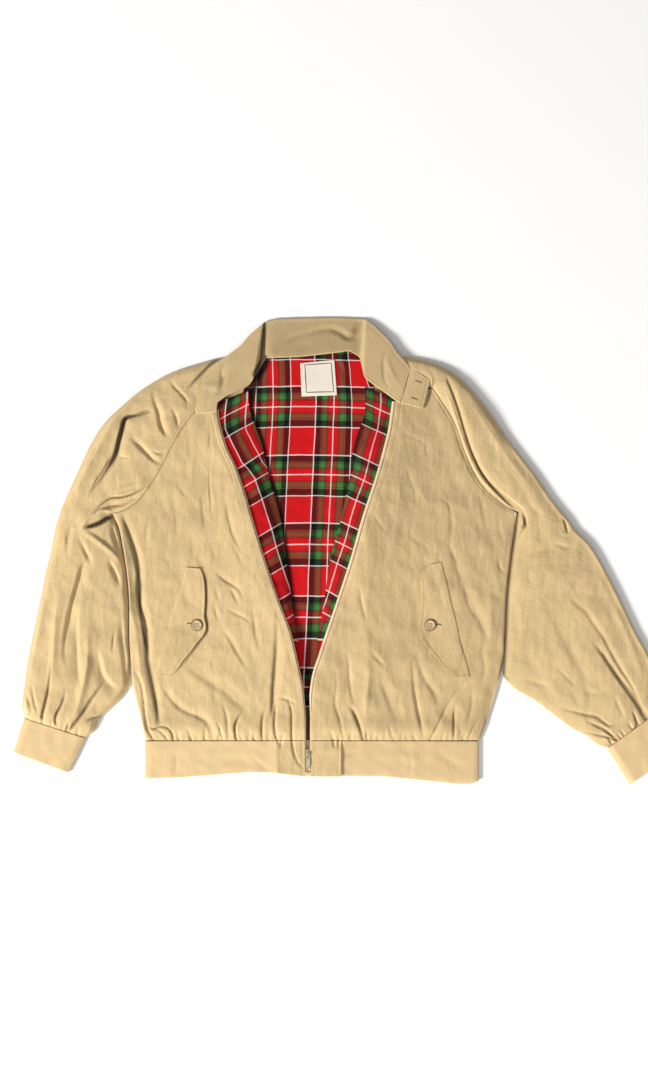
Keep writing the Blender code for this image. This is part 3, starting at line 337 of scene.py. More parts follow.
def crumple(x, y, size, seed):
    """Sum of twelve sine waves of about this length in seeded directions, over 5: cloth's small chance waves."""
    chance = np.random.default_rng(seed)
    turn, phase = chance.uniform(0, math.pi, 12), chance.uniform(0, 2 * math.pi, 12)
    wave = 2 * math.pi / (size * chance.uniform(0.7, 1.6, 12))
    total = np.zeros_like(x)
    for k in range(12):
        total += np.sin((x * math.cos(turn[k]) + y * math.sin(turn[k])) * wave[k] + phase[k])
    return total / 5.0


# %% fold tables
# reach to the left of the line, reach to its right, sharp, then x, y and height of each point
RIGHT_SLEEVE_FOLDS = [
    # the shoulder's roll and the long crease under it
    (15, 4.5, 0.6, (-292, 213), (-303, 209, -3), (-318, 203, -4), (-331, 199, -5.5), (-336, 182, -5.5),
     (-341, 160, -5), (-346, 141, -4.6), (-357, 124, -4), (-368, 108, -2.6), (-380, 92, -1.4), (-387, 80)),
    (6, 3, 0.6, (-346, 146), (-354, 138, -2.4), (-364, 122, -2.4), (-376, 104, -1.8), (-384, 88)),
    (14, 14, 0.2, (-300, 226), (-330, 214, 2), (-352, 190, 2.8), (-368, 160, 2.8), (-385, 130, 2.4), (-400, 100, 1.5),
     (-410, 75)),
    (12, 5, 0.4, (-292, 243), (-288, 225, -1.6), (-282, 205, -2.6), (-279, 188, -3.2), (-274, 178, -2), (-268, 170)),
    (6, 5, 0.4, (-262, 215), (-257, 203, -1.6), (-254, 192, -1.6), (-253, 182)),
    (6, 4, 0.5, (-264, 258), (-260, 248, -1.8), (-250, 237, -2.2), (-241, 226, -2), (-237, 218)),
    (9, 6, 0.3, (-324, 172), (-313, 160, -2), (-301, 148, -2.4), (-290, 137, -2.2), (-276, 130)),
    (4, 3, 0.4, (-342, 143), (-334, 140, -1.2), (-324, 140)),
    (5, 4, 0.4, (-294, 152), (-282, 146, -1.4), (-268, 152)),
    (9, 6, 0.3, (-352, 95), (-334, 99, -0.6), (-318, 105, -0.6), (-302, 114)),
    # the fan of folds into the armpit, the hole under them and the lip over it
    (5, 3, 0.6, (-376, 58), (-366, 71, -3), (-354, 79, -3.4), (-336, 81, -3.2), (-320, 86, -2.8), (-306, 94, -2),
     (-294, 103)),
    (6, 5, 0.4, (-366, 60), (-355, 67, -2.6), (-340, 70, -3), (-326, 76, -2.2), (-312, 84)),
    (3, 2.5, 0.5, (-347, 65), (-333, 70, -1.3), (-322, 78, -1), (-314, 82)),
    (4, 3, 0.4, (-360, 82), (-344, 86, -0.5), (-326, 92, -0.6), (-312, 98)),
    (5, 5, 0.2, (-398, 34), (-388, 48, 2), (-376, 57, 2.2), (-362, 62, 1.5), (-350, 58)),
    (6, 5, 0.5, (-397, 35), (-386, 38, -4), (-376, 41, -6), (-366, 46, -8), (-358, 51, -8), (-350, 52, -2)),
    (5, 9, 0.2, (-396, 30), (-384, 24, 1.6), (-370, 14, 2.2), (-356, 3, 2.2), (-345, -8, 1.4), (-337, -16)),
    (8, 6, 0.3, (-402, 22), (-394, 5, -1.8), (-386, -12, -1.8), (-382, -22)),
    (5, 8, 0.3, (-350, 42), (-349, 28, -3), (-344, 12, -3), (-339, -4)),
    (5, 8, 0.3, (-357, -12), (-350, -26, -2.6), (-344, -40, -2.2), (-340, -52)),
    (8, 6, 0.3, (-412, 42), (-418, 15, -1.4), (-420, -12)),
    # the long hollow down the sleeve, and the ridges on both sides of it
    (17, 6, 0.4, (-386, -12), (-395, -22, -2.6), (-401, -42, -3.4), (-408, -66, -3.8), (-414, -90, -3.6),
     (-420, -120, -2.8), (-423, -150, -1.8), (-420, -178)),
    (6, 19, 0.2, (-404, -86), (-405, -120, -2.8), (-404, -150, -3.2), (-402, -182, -2.6), (-398, -208)),
    (12, 10, 0.2, (-430, -60), (-436, -100, 1.8), (-438, -140, 2), (-441, -180, 1.6), (-446, -212)),
    (9, 12, 0.2, (-388, -110), (-387, -150, 2), (-390, -180, 2.8), (-396, -210, 2.8), (-403, -236, 2), (-413, -256)),
    (8, 17, 0.3, (-375, -142), (-371, -165, -2.6), (-366, -185, -3), (-355, -200, -2.4), (-342, -211)),
    (5, 3, 0.4, (-347, -118), (-350, -135, -1.4), (-351, -154)),
    (5, 9, 0.3, (-338, -90), (-336, -130, -2), (-332, -160, -2.6), (-328, -185, -2.2), (-325, -202)),
    (14, 14, 0.1, (-458, -40), (-464, -110, 1.4), (-472, -190)),
    # pleats into the cuff
    (8, 3.5, 0.6, (-441, -160), (-445, -190, -2.2), (-449, -215, -3.6), (-453, -232, -5), (-457, -248, -4.6)),
    (8, 3.5, 0.6, (-421, -200), (-424, -221, -2.2), (-429, -233, -3.6), (-435, -244, -4.6), (-437, -254, -3.6),
     (-435, -262, -1)),
    (8, 4.5, 0.5, (-360, -190), (-371, -206, -2.2), (-383, -222, -3.6), (-393, -238, -4.6), (-402, -251, -5),
     (-411, -262, -4.4), (-417, -270, -1.5)),
    (4, 3, 0.5, (-416, -254), (-419, -264, -3), (-423, -272, -1)),
    (5, 4, 0.5, (-473, -198), (-470, -216, -2), (-466, -232, -1.8), (-463, -244, -0.5)),
    (5, 4, 0.5, (-482, -208), (-477, -224, -1.4), (-472, -240, -0.8)),
    (4, 3, 0.5, (-400, -262), (-404, -270, -2), (-406, -278, -1)),
    (4, 3, 0.5, (-384, -262), (-391, -270, -1.6), (-396, -280, -1)),
    (6, 4, 0.5, (-362, -244), (-372, -248, -2.4), (-382, -250, -3), (-390, -254)),
]
LEFT_SLEEVE_FOLDS = [
    # the raglan seam's fold: a hollow, a narrow roll and the dark line behind it
    (9, 3.5, 0.6, (150, 256, -1.6), (156, 241, -3.2), (163, 222, -3.6), (170, 200, -3.6), (176.5, 178, -3.8),
     (184, 155, -4.2), (192, 136, -4.4), (200, 120, -4.4), (212, 103, -3.8), (225, 89, -3.6), (240, 74, -3.2),
     (256, 62)),
    (4, 5, 0.2, (150, 236), (158, 214, 1.8), (166, 190, 2.2), (174, 166, 2.2), (183, 142, 2.2), (191, 124, 2),
     (200, 110, 1.5), (212, 96, 1.2), (226, 82)),
    (4, 10, 0.3, (150, 222), (160, 196, -1.2), (167, 172, -1.6), (176, 150, -1.8), (186, 130, -2.2), (193, 116, -2),
     (202, 103, -1.2), (218, 86, -1), (238, 68, -1), (252, 58)),
    (4, 10, 0.3, (212, 104), (230, 88, -2.8), (248, 74, -3.2), (262, 62, -2.8), (268, 46, -2), (260, 30)),
    (3, 3, 0.5, (262, 56), (266, 48, -3), (269, 40, -3), (262, 30, -2), (257, 20)),
    (14, 12, 0.2, (176, 240), (204, 196, 1.6), (236, 148, 1.8), (268, 104, 1.2), (288, 74)),
    # tuck at the elbow, soft folds under it
    (4, 3, 0.6, (323, 50), (327, 42, -4), (329, 34, -3.4), (331, 27)),
    (3, 4, 0.2, (318, 30), (326, 26, 1.4), (334, 28, 1.4), (341, 37)),
    (9, 8, 0.3, (296, 3), (315, 10, -2), (330, 6, -2.4), (346, 19)),
    (12, 10, 0.2, (256, -18), (280, -4, -1.4), (300, 2, -1.4), (320, 4)),
    (10, 8, 0.2, (262, 90), (282, 60, -1.4), (300, 44)),
    (8, 5, 0.3, (362, -32), (348, -46, -1.8), (338, -56, -2), (331, -68)),
    (9, 5, 0.3, (328, -64), (342, -78, -1.4), (358, -92, -1.8), (372, -112, -2.2), (386, -132, -2.6),
     (396, -152, -2.8), (408, -172, -2.2), (418, -192)),
    (10, 4.5, 0.5, (366, -134), (382, -154, -2.6), (394, -172, -3.6), (406, -190, -4.4), (418, -206, -4.8),
     (428, -220, -5), (436, -232, -5), (442, -243, -4.4), (448, -252, -3)),
    (5, 4, 0.4, (398, -158), (410, -176, -2.2), (422, -194, -2.8), (432, -212, -2.2), (438, -228)),
    (12, 12, 0.2, (372, -30), (404, -92, 2), (430, -150, 2), (446, -196)),
    (18, 14, 0.2, (282, -50), (318, -120, -1.6), (352, -180, -1.2), (372, -206)),
    (12, 10, 0.2, (254, -60), (262, -110, 1.4), (262, -160)),
    (6, 5, 0.3, (314, -174), (328, -188, -1.2), (344, -204)),
    (8, 7, 0.3, (346, -210), (375, -213, -1.5), (402, -206)),
    (8, 7, 0.3, (262, -192), (288, -199, -1.5), (314, -205)),
    (6, 5, 0.3, (398, -212), (408, -235, -1.6), (417, -254)),
    # pleats into the cuff
    (5, 4, 0.5, (316, -235), (340, -241, -1.6), (360, -246, -2.4), (374, -249, -2.8), (384, -256, -2.6),
     (394, -262, -2), (406, -257)),
    (5, 4, 0.5, (358, -254), (374, -262, -2.2), (386, -268, -3), (396, -276, -3.4), (405, -283, -2)),
    (4, 3, 0.5, (352, -271), (374, -276, -2.6), (390, -279, -3), (404, -284, -2)),
    (5, 3, 0.5, (427, -238), (432, -251, -3), (434, -262, -3), (428, -272, -2.4), (417, -280, -1)),
    (4, 3, 0.5, (390, -280), (395, -287, -3), (392, -297)),
    (5, 4, 0.5, (450, -212), (455, -228, -2.2), (458, -248, -1.2)),
]
print("folds of the sleeves:", len(RIGHT_SLEEVE_FOLDS) + len(LEFT_SLEEVE_FOLDS))

# %% folds of the fronts
RIGHT_FRONT_FOLDS = [
    # the roll down the side and the dark valley beside it
    (9, 12, 0.2, (-341, 54), (-337, 30, 2.2), (-332, 0, 3.2), (-328, -30, 3.6), (-327, -60, 3.6), (-323, -90, 3.4),
     (-316, -120, 3.2), (-312, -150, 3), (-308, -180, 2.6), (-300, -215, 2.2), (-294, -245, 1.2), (-290, -262)),
    (13, 6, 0.5, (-338, 58), (-331, 38, -3.2), (-324, 18, -4.4), (-317, -5, -5), (-313, -25, -5.4), (-313, -60, -5.4),
     (-310, -85, -5), (-304, -105, -5), (-300, -140, -5), (-299, -165, -4.6), (-294, -190, -4.4), (-289, -215, -4.4),
     (-285, -238, -3.8), (-283, -255, -2), (-283, -264)),
    (5, 4, 0.4, (-322, -176), (-314, -186, -2), (-308, -200, -3), (-305, -220, -3.2), (-303, -240, -3.2),
     (-301, -256, -3.6), (-298, -268, -4.2), (-293, -278, -4.2), (-288, -287, -2)),
    (4, 3, 0.5, (-299, -261), (-290, -266, -2.4), (-280, -263, -2.6), (-270, -264, -2.4), (-264, -270, -2.8),
     (-261, -280, -3.8), (-262, -288, -2)),
    (4, 3, 0.5, (-288, -264), (-280, -270, -2.2), (-273, -277, -2.6), (-268, -287, -2)),
    # slanting folds under the flap
    (20, 10, 0.2, (-248, -162), (-232, -178, -2), (-215, -190, -2.7), (-196, -202, -3), (-178, -216, -2.7),
     (-162, -229, -2.2), (-145, -241)),
    (12, 6, 0.3, (-278, -198), (-268, -215, -2.2), (-256, -230, -2.8), (-240, -241, -2.8), (-222, -248, -2.8),
     (-210, -256, -2.6), (-204, -268, -2.2), (-201, -284, -1.5)),
    (6, 4, 0.4, (-187, -226), (-181, -245, -2.4), (-179, -262, -2.8), (-178, -276, -2), (-178, -288, -1)),
    (4, 3, 0.5, (-195, -254), (-190, -268, -2.4), (-186, -286, -2.4)),
    (5, 3, 0.6, (-154, -237), (-163, -250, -2.8), (-168, -262, -4.4), (-168, -272, -4.6), (-165, -288, -2.5)),
    (5, 3, 0.5, (-123, -236), (-127, -252, -2.8), (-128, -266, -3.2), (-127, -288, -2)),
    # beside the zip
    (15, 5, 0.5, (-106, -92), (-106, -125, -1.7), (-107, -150, -2.7), (-109, -180, -3.5), (-111, -205, -3.7),
     (-112, -228, -3.6), (-113, -243, -1.4), (-114, -250)),
    (5, 3, 0.5, (-106, -222), (-108, -240, -2.2), (-109, -256, -2.8), (-108, -272, -3), (-104, -288, -2)),
    (5, 4, 0.4, (-108, -222), (-97, -220, -2.2), (-86, -224, -2.2), (-75, -229)),
    (5, 3, 0.5, (-89, -220), (-84, -238, -2.5), (-83, -260, -2.9), (-83, -280, -2.9), (-81, -296, -2.5),
     (-77, -310, -1.9), (-70, -321, -1.2), (-64, -329)),
    # small folds between flap and zip
    (9, 4, 0.4, (-201, -27), (-190, -38, -1.8), (-178, -47, -2.8), (-168, -53, -2.8), (-160, -60, -1.8), (-155, -77)),
    (6, 4, 0.4, (-177, -52), (-168, -68, -2.2), (-162, -84)),
    (6, 5, 0.3, (-197, -50), (-194, -66, -1.8), (-190, -80)),
    (6, 5, 0.3, (-201, -78), (-196, -92, -2.2), (-192, -106)),
    (5, 4, 0.4, (-180, -87), (-166, -94, -2.4), (-155, -99, -2), (-143, -107)),
    (10, 5, 0.3, (-188, -116), (-177, -130, -2), (-168, -146, -2.6), (-158, -163, -2.2), (-146, -180)),
    (8, 5, 0.3, (-142, -80), (-139, -105, -2), (-136, -128, -2.2), (-129, -152)),
    (7, 5, 0.3, (-172, 12), (-163, -5, -1.6), (-157, -22)),
    # the chest
    (5, 3, 0.4, (-205, 122), (-206, 96, -1.8), (-204, 76, -1.8), (-203, 54)),
    (8, 4, 0.3, (-181, 74), (-177, 50, -2), (-172, 28, -1.8), (-163, 8, -1.4), (-155, -10)),
    (5, 4, 0.3, (-252, 100), (-246, 88, -1.2), (-236, 79)),
    (9, 5, 0.3, (-219, 92), (-216, 60, -1.9), (-213, 30)),
    (5, 4, 0.3, (-205, 180), (-205, 162, -1.4), (-208, 146)),
    (10, 7, 0.2, (-262, 90), (-256, 40, -1.4), (-258, 0)),
    (10, 8, 0.2, (-236, 150), (-232, 110, 1.2), (-236, 60)),
    (10, 8, 0.2, (-192, 130), (-188, 70, 1.3), (-178, 20)),
    (5, 4, 0.3, (-296, 60), (-300, 30, -1.3), (-300, 0)),
]
LEFT_FRONT_FOLDS = [
    # the chest
    (8, 5, 0.3, (84, 130), (94, 110, -0.8), (100, 92, -0.8), (102, 68)),
    (6, 4, 0.3, (118, 168), (119, 150, -0.7), (123, 134)),
    (6, 5, 0.3, (78, 177), (95, 172, -0.7), (108, 166, -0.7), (120, 157)),
    (7, 4, 0.3, (138, 78), (150, 72, -1), (156, 52, -1.1), (157, 30, -1), (154, 6)),
    (5, 4, 0.3, (94, 42), (95, 24, -0.8), (104, 14, -0.8), (118, 6, -0.7), (123, -14)),
    (5, 4, 0.4, (156, 22), (154, 6, -1.1), (160, -6, -1), (167, -20)),
    (4, 3, 0.5, (39, 60), (46, 44, -1), (54, 34, -0.8), (63, 31)),
    (18, 16, 0.2, (84, 150), (76, 60, 1.5), (60, -40)),
    (8, 6, 0.3, (196, 100), (204, 60, -1.5), (210, 24)),
    (8, 6, 0.2, (226, 60), (230, 30, -1.3), (236, 6)),
    # the long fold outside the flap
    (14, 8, 0.3, (146, 22), (156, 4, -1.2), (162, -14, -1.7), (168, -34, -2.1), (176, -56, -2.1), (186, -78, -2),
     (196, -98, -2.1), (206, -118, -1.8), (218, -138)),
    (5, 4, 0.4, (178, -68), (184, -85, -1.6), (195, -101)),
    (5, 4, 0.4, (227, -8), (230, -26, -1.9), (239, -35)),
    (12, 10, 0.2, (212, -40), (216, -100, 1.8), (212, -170)),
    (9, 7, 0.3, (200, -140), (206, -170, -1.6), (202, -205)),
    # beside the zip
    (5, 4, 0.4, (18, -50), (21, -72, -2.6), (24, -88, -3.2), (29, -104)),
    (6, 5, 0.4, (34, -146), (42, -158, -2.4), (52, -168, -2.4), (58, -176)),
    (5, 4, 0.4, (-1, -148), (3, -170, -2.6), (4, -195, -3), (7, -215, -2.6), (11, -233)),
    (5, 3, 0.4, (-18, -172), (-16, -205, -1.8), (-18, -230, -2.2), (-12, -250, -2.4), (-8, -268, -2.2),
     (-4, -286, -1.5)),
    (7, 4, 0.5, (3, -230), (10, -242, -3.4), (15, -254, -4.4), (20, -268, -4), (25, -288, -2)),
    (3, 2.5, 0.5, (28, -264), (29, -276, -3.4), (30, -288, -2)),
    (9, 8, 0.2, (29, -155), (33, -180, 2), (31, -205, 2.6), (28, -228, 2.2), (28, -248)),
    (13, 8, 0.3, (50, -186), (58, -212, -2), (66, -234, -1.6), (75, -252)),
    (4, 3, 0.4, (58, -260), (57, -274, -1.9), (57, -288, -1)),
    (4, 3, 0.4, (60, -254), (65, -270, -2.3), (72, -288, -2)),
    # over the hem
    (8, 4, 0.45, (98, -160), (99, -188, -2.6), (101, -210, -3.4), (104, -230, -4), (108, -250, -4.2),
     (112, -268, -2.8), (115, -284)),
    (11, 6, 0.3, (103, -146), (108, -172, -1.8), (118, -194, -2.4), (130, -212, -2.4), (138, -232)),
    (7, 3.5, 0.4, (186, -194), (170, -206, -2.2), (156, -222, -2.6), (148, -236, -2.6), (140, -252, -3),
     (133, -266, -3.8), (126, -280, -3.4), (119, -290, -1.5)),
    (4, 3, 0.5, (161, -229), (160, -250, -3.2), (160, -268, -3.2), (160, -284, -1)),
    (4, 3, 0.4, (166, -260), (170, -272, -2), (168, -286)),
    (4, 3, 0.4, (199, -250), (190, -264, -2.3), (184, -276, -2.5), (179, -290, -1.5)),
    (7, 5, 0.3, (186, -202), (188, -225, -1.9), (184, -245, -1.7), (175, -264)),
    (10, 10, 0.2, (84, -200), (84, -236, 1.6), (90, -262)),
]
print("folds of the fronts:", len(RIGHT_FRONT_FOLDS) + len(LEFT_FRONT_FOLDS))

# %% [markdown]
# ## Gathers
#
# The shell is cut wider than the rib band that it is sewn to, so it puckers: short troughs run up from the seam,
# deep at the stitching and fading within a few centimetres. No two are alike, so each has its own place, lean,
# length and depth, and between them the cloth swells over the band. The deepest ones are among the folds above.

# %% gathers over the waistband and the cuffs
# place on the seam (x), lean, length, depth
HEM_GATHERS = [
    (-252, -2, 17, 1.5), (-243, 3, 12, 1.1), (-234, -4, 19, 2.0), (-225, 2, 11, 0.9), (-213, 1, 20, 1.8),
    (-193, 5, 15, 1.4), (-157, -3, 13, 1.2), (-148, 4, 16, 1.4), (-139, -1, 14, 1.8), (-118, 3, 15, 1.5),
    (-98, 5, 12, 1.8), (-20, -6, 18, 1.9), (-12, 2, 12, 1.3), (5, 2, 14, 1.6), (38, 3, 16, 1.6), (47, -1, 12, 1.1),
    (82, 1, 15, 1.5), (91, -3, 11, 1.1), (102, -2, 13, 1.4), (143, 3, 14, 1.5), (152, 1, 12, 1.2), (174, 4, 14, 1.5),
]
# fraction along the cuff's seam from the sleeve's outer edge, length, depth
CUFF_GATHERS = [(0.08, 16, 1.2), (0.30, 15, 1.7), (0.44, 16, 1.5), (0.62, 14, 1.2), (0.70, 12, 1.4), (0.87, 15, 1.5),
                (0.94, 11, 1.1)]
HEM_SEAM = -284.0
GATHER = (5.0, 3.5, 0.5)  # its reaches to the left and right, and its sharpness
UNDER_SEAM, ON_SEAM = 8, 1.4  # how far below the seam it starts, and how much deeper it is on the seam


def hem_gathers(table):
    """A fold for each gather: from 8 mm below the seam, straight up, leaning a little."""
    return [(*GATHER, (x - lean * 0.2, HEM_SEAM - UNDER_SEAM, -depth), (x, HEM_SEAM, -ON_SEAM * depth),
             (x + lean * 0.5, HEM_SEAM + length * 0.5, -depth), (x + lean, HEM_SEAM + length))
            for x, lean, length, depth in table]


def cuff_gathers(outer_end, inner_end):
    """The same, square to the line between the two ends of a cuff's seam."""
    start, end = np.array(outer_end, float), np.array(inner_end, float)
    along = (end - start) / np.linalg.norm(end - start)
    up = np.array([-along[1], along[0]])
    up *= np.sign(up[1])
    rows = []
    for fraction, length, depth in CUFF_GATHERS:
        root = start + (end - start) * fraction
        rows.append((*GATHER, (*(root - up * UNDER_SEAM), -depth), (*root, -ON_SEAM * depth),
                     (*(root + up * length * 0.5), -depth), tuple(root + up * length)))
    return rows


SHELL_LINES = drawn(
    RIGHT_SLEEVE_FOLDS + LEFT_SLEEVE_FOLDS + RIGHT_FRONT_FOLDS + LEFT_FRONT_FOLDS + hem_gathers(HEM_GATHERS)
    + cuff_gathers(RIGHT_SLEEVE_OUT_LOW[0], RIGHT_UNDERARM[0]) + cuff_gathers(LEFT_SLEEVE_OUT_LOW[0], LEFT_UNDERARM[0]))
# the deep sharp folds, whose hollows get painted shade
DEEP_FOLDS = [row for row in SHELL_LINES if row[2] >= 0.5 and row[3][:, 2].min() < -2.7]
# gain of the round folds and what all gain in sharpness: on the right sleeve, which is the most worn, and elsewhere
WORN, CALM = (1.5, 0.35), (0.75, 0.3)
WORN_ROWS = len(RIGHT_SLEEVE_FOLDS)
SHELL_FOLDS = softer(SHELL_LINES[:WORN_ROWS], *WORN) + softer(SHELL_LINES[WORN_ROWS:], *CALM)
# painted shade and shadow: where cloth lies so deep or so close to another layer that hardly any light gets in,
# and beside the flaps, the collar and the throat tab where they cast a shadow; depth sets width and darkness
SHELL_SHADES = drawn([
    (4.5, 4.5, 0.0, (-296, 208, -2), (-314, 203, -3.2), (-331, 199, -8), (-338, 180, -13), (-343, 162, -12),
     (-347, 146, -9), (-354, 132, -4.5), (-364, 115, -2.4), (-372, 100)),
    (6, 5, 0.0, (-395, 35), (-384, 37, -6), (-374, 40, -10), (-364, 45, -12), (-357, 50, -10), (-350, 52)),
    (5, 4, 0.0, (-335, 38), (-322, -4, -1.6), (-314, -30, -3.5), (-311, -50, -5), (-311, -75, -5), (-308, -105, -3),
     (-303, -133, -4.6), (-299, -160, -2.6), (-293, -186, -2), (-289, -215, -3), (-285, -240, -3.4), (-283, -260)),
    (3, 3, 0.0, (-218, -28), (-213.5, -38, -3), (-210.5, -58, -4), (-210.5, -78, -4), (-211.5, -96, -4),
     (-209.5, -119, -4), (-222, -138, -3), (-233, -153, -2.4), (-243, -166, -2), (-254, -179)),
    (3, 3, 0.0, (176, 180), (184, 155, -1.5), (192, 136, -3.4), (200, 120, -4), (212, 103, -4), (225, 89, -4),
     (240, 74, -3), (252, 64)),
    (4, 4, 0.0, (262, 58), (266, 48, -4), (266, 40, -4), (259, 32)),
    (4, 5, 0.0, (-240, 240), (-235, 247, -2), (-219, 265, -3.4), (-201, 283, -3.4), (-186, 293, -2), (-176, 299)),
    (3, 3, 0.0, (118, 212), (122, 226, -2.4), (126, 242, -2.8), (129, 256, -2), (127, 262)),
])
print("gathers:", len(HEM_GATHERS) + 2 * len(CUFF_GATHERS), "of which deep:", len(DEEP_FOLDS))

# %% [markdown]
# ## Height of the shell
#
# One function gives the height of the upper side of fronts and sleeves at any place. Pieces that touch read the same
# function, so a fold runs over a seam from one piece into the next, and what lies on the shell can rest on it.
# The fronts stand highest along the open zip, where the stiff tape rolls them up.

# %% height of the shell
SHELL, RIB, COLLAR, LINING = 1.6, 2.4, 2.4, 1.2  # how thick each cloth is
SHELL_TOP, LOWEST_TOP = 6.6, 3.9
ZIP_LIFT = np.array([(-340, 0.8), (-284, 1.0), (-240, 1.4), (-190, 2.6), (-150, 3.8), (-80, 5.2), (0, 6.0), (110, 5.4),
                     (212, 2.6), (235, 1.2), (255, 0.0)])
RIGHT_ZIP = np.array(RIGHT_ZIP_LOW + RIGHT_ZIP_HIGH[1:], float)
LEFT_ZIP = np.array(LEFT_ZIP_LOW + LEFT_ZIP_HIGH[1:], float)


def zip_x(edge, y):
    """X of a zip edge at this y."""
    return np.interp(y, edge[:, 1], edge[:, 0])


def zip_lift(x, y):
    """Lift(y) * (0.8 exp(-(a / 38)^2) + 0.4 exp(-(a / 110)^2)), with a the distance from the nearer zip edge."""
    lift = np.interp(y, *ZIP_LIFT.T)
    from_right, from_left = np.clip(zip_x(RIGHT_ZIP, y) - x, 0.0, None), np.clip(x - zip_x(LEFT_ZIP, y), 0.0, None)
    middle = np.interp(y, LEFT_ZIP[:, 1], (RIGHT_ZIP[:, 0].min() + LEFT_ZIP[:, 0]) / 2)
    away = np.where(from_right > 0, from_right, np.where(x < middle, from_right, from_left))
    return lift * (0.8 * hump(away, 38.0) + 0.4 * hump(away, 110.0))


# places where something rigid or another layer lies on the shell: x, y, how far round them it stays low
QUIET = [(*RIGHT_BUTTON, 34), (*LEFT_BUTTON, 34), (*PULL, 45), (-200, 215, 30), (-215, 240, 30), (-195, 265, 32),
         (-165, 290, 34), (60, 300, 34), (80, 270, 34), (95, 240, 34), (112, 225, 30), (120, 250, 30)]
AIR = 3.4
TILT, TILT_REACH = 3.8, 95.0


def air(x, y):
    """Room under the cloth: 3.4 mm times 1 - exp(-(d / reach)^2) for each quiet place, d the distance to it."""
    kept = np.ones_like(x)
    for place_x, place_y, reach in QUIET:
        kept *= 1.0 - np.exp(-((x - place_x) ** 2 + (y - place_y) ** 2) / reach**2)
    return AIR * kept


def shell_top(x, y):
    """Base height + air + folds + small waves, never under 3.9 mm, + the zip's lift + the swell over the waistband.

    The left front also tilts about its button: 3.8 mm * (124.5 - x) / 95, so it falls away towards its side.
    """
    waves = 0.7 * crumple(x, y, 46.0, 3) + 0.12 * crumple(x, 0.4 * y, 9.0, 9)
    waves += 0.5 * np.abs(crumple(x, 0.7 * y, 34.0, 5)) - 0.5 * np.abs(crumple(x, 0.7 * y, 30.0, 6))
    above = y - HEM_SEAM
    swell = 2.2 * hump(above - 17.0, 15.0) * (np.abs(x + 55) < 262)
    seam = 1.0 - hump(above, 12.0) * (y < 0)
    tilt = TILT * np.clip((LEFT_BUTTON[0] - x) / TILT_REACH, -1.0, 1.0) * np.clip(x / 30.0, 0.0, 1.0)
    tilt *= np.clip((200.0 - y) / 60.0, 0.0, 1.0)
    top = SHELL_TOP + air(x, y) * seam + folds(x, y, SHELL_FOLDS) + waves + tilt * seam
    return np.maximum(top, LOWEST_TOP) + zip_lift(x, y) + swell


def in_crease(x, y):
    """Painted shade of a crease or shadow, from 0 to 1: the more of 0.55 * (deep folds' depth / 2.6)^1.2 and the
    shades' depth / 4.
    """
    deep = 0.55 * np.clip(-folds(x, y, DEEP_FOLDS, 0.85) / 2.6, 0.0, 1.0) ** 1.2
    return np.maximum(deep, np.clip(-folds(x, y, SHELL_SHADES) / 4.0, 0.0, 1.0))


print("height at the middle of the left front:", shell_top(np.array([120.0]), np.array([60.0])).round(2), "mm")

# %% [markdown]
# ## From heights to cloth
#
# A wall of cloth needs an upper and a lower side and a rim between them. Solidify could thicken a surface, but here
# the lower side is known, so both are computed and stitched: quads over each grid, and a strip round the rim. A
# sleeve's rings are closed as far as the armpit and open above it, so the number of closed rings is an input.

# %% the wall of cloth
SHARP_FROM = 50.0  # degrees between two faces, from which their edge is sharp


def placed(name, data):
    """An object with this data, in the scene."""
    made = bpy.data.objects.new(name, data)
    bpy.context.scene.collection.objects.link(made)
    return made


def link_mesh(name, vertices, quads, uv, finish):
    """A mesh object from whole arrays: vertices in mm, quads as vertex numbers, and a UV pair for every quad corner."""
    mesh = bpy.data.meshes.new(name)
    mesh.vertices.add(len(vertices))
    mesh.vertices.foreach_set("co", (vertices * MM).astype(np.float32).ravel())
    mesh.loops.add(quads.size)
    mesh.loops.foreach_set("vertex_index", quads.ravel().astype(np.int32))
    mesh.polygons.add(len(quads))
    mesh.polygons.foreach_set("loop_start", np.arange(0, quads.size, 4, dtype=np.int32))
    layer = mesh.uv_layers.new(name="cloth")
    layer.data.foreach_set("uv", uv.reshape(-1, 2).astype(np.float32).ravel())
    mesh.update(calc_edges=True)
    mesh.validate()
    mesh.shade_smooth()
    mesh.set_sharp_from_angle(angle=math.radians(SHARP_FROM))
    mesh.materials.append(finish)
    return placed(name, mesh)


def outward(vertices, quads):
    """True if the signed volume, the sum of det(p0, p1, p2) / 6 over the triangles, is positive."""
    p = vertices[quads]
    volume = 0.0
    for a, b, c in ((0, 1, 2), (0, 2, 3)):
        volume += np.einsum("ij,ij->i", p[:, a], np.cross(p[:, b], p[:, c])).sum()
    return volume > 0


def cells(grid):
    """The four corners of every cell of a grid of numbers."""
    return np.stack([grid[:-1, :-1], grid[:-1, 1:], grid[1:, 1:], grid[1:, :-1]], -1).reshape(-1, 4)


def rims(grid, closed):
    """The wall's open edges: round the whole grid, or one at each end of a tube that may be open from row `closed`."""
    if not closed:
        return [np.concatenate([grid[0], grid[1:, -1], grid[-1, -2::-1], grid[-2::-1, 0]])]
    if closed == len(grid):
        return [grid[0], grid[-1, ::-1]]
    last = closed - 1
    return [grid[0], np.concatenate([grid[last:, -1], grid[-1, -2::-1], grid[-2:last - 1:-1, 0]])]


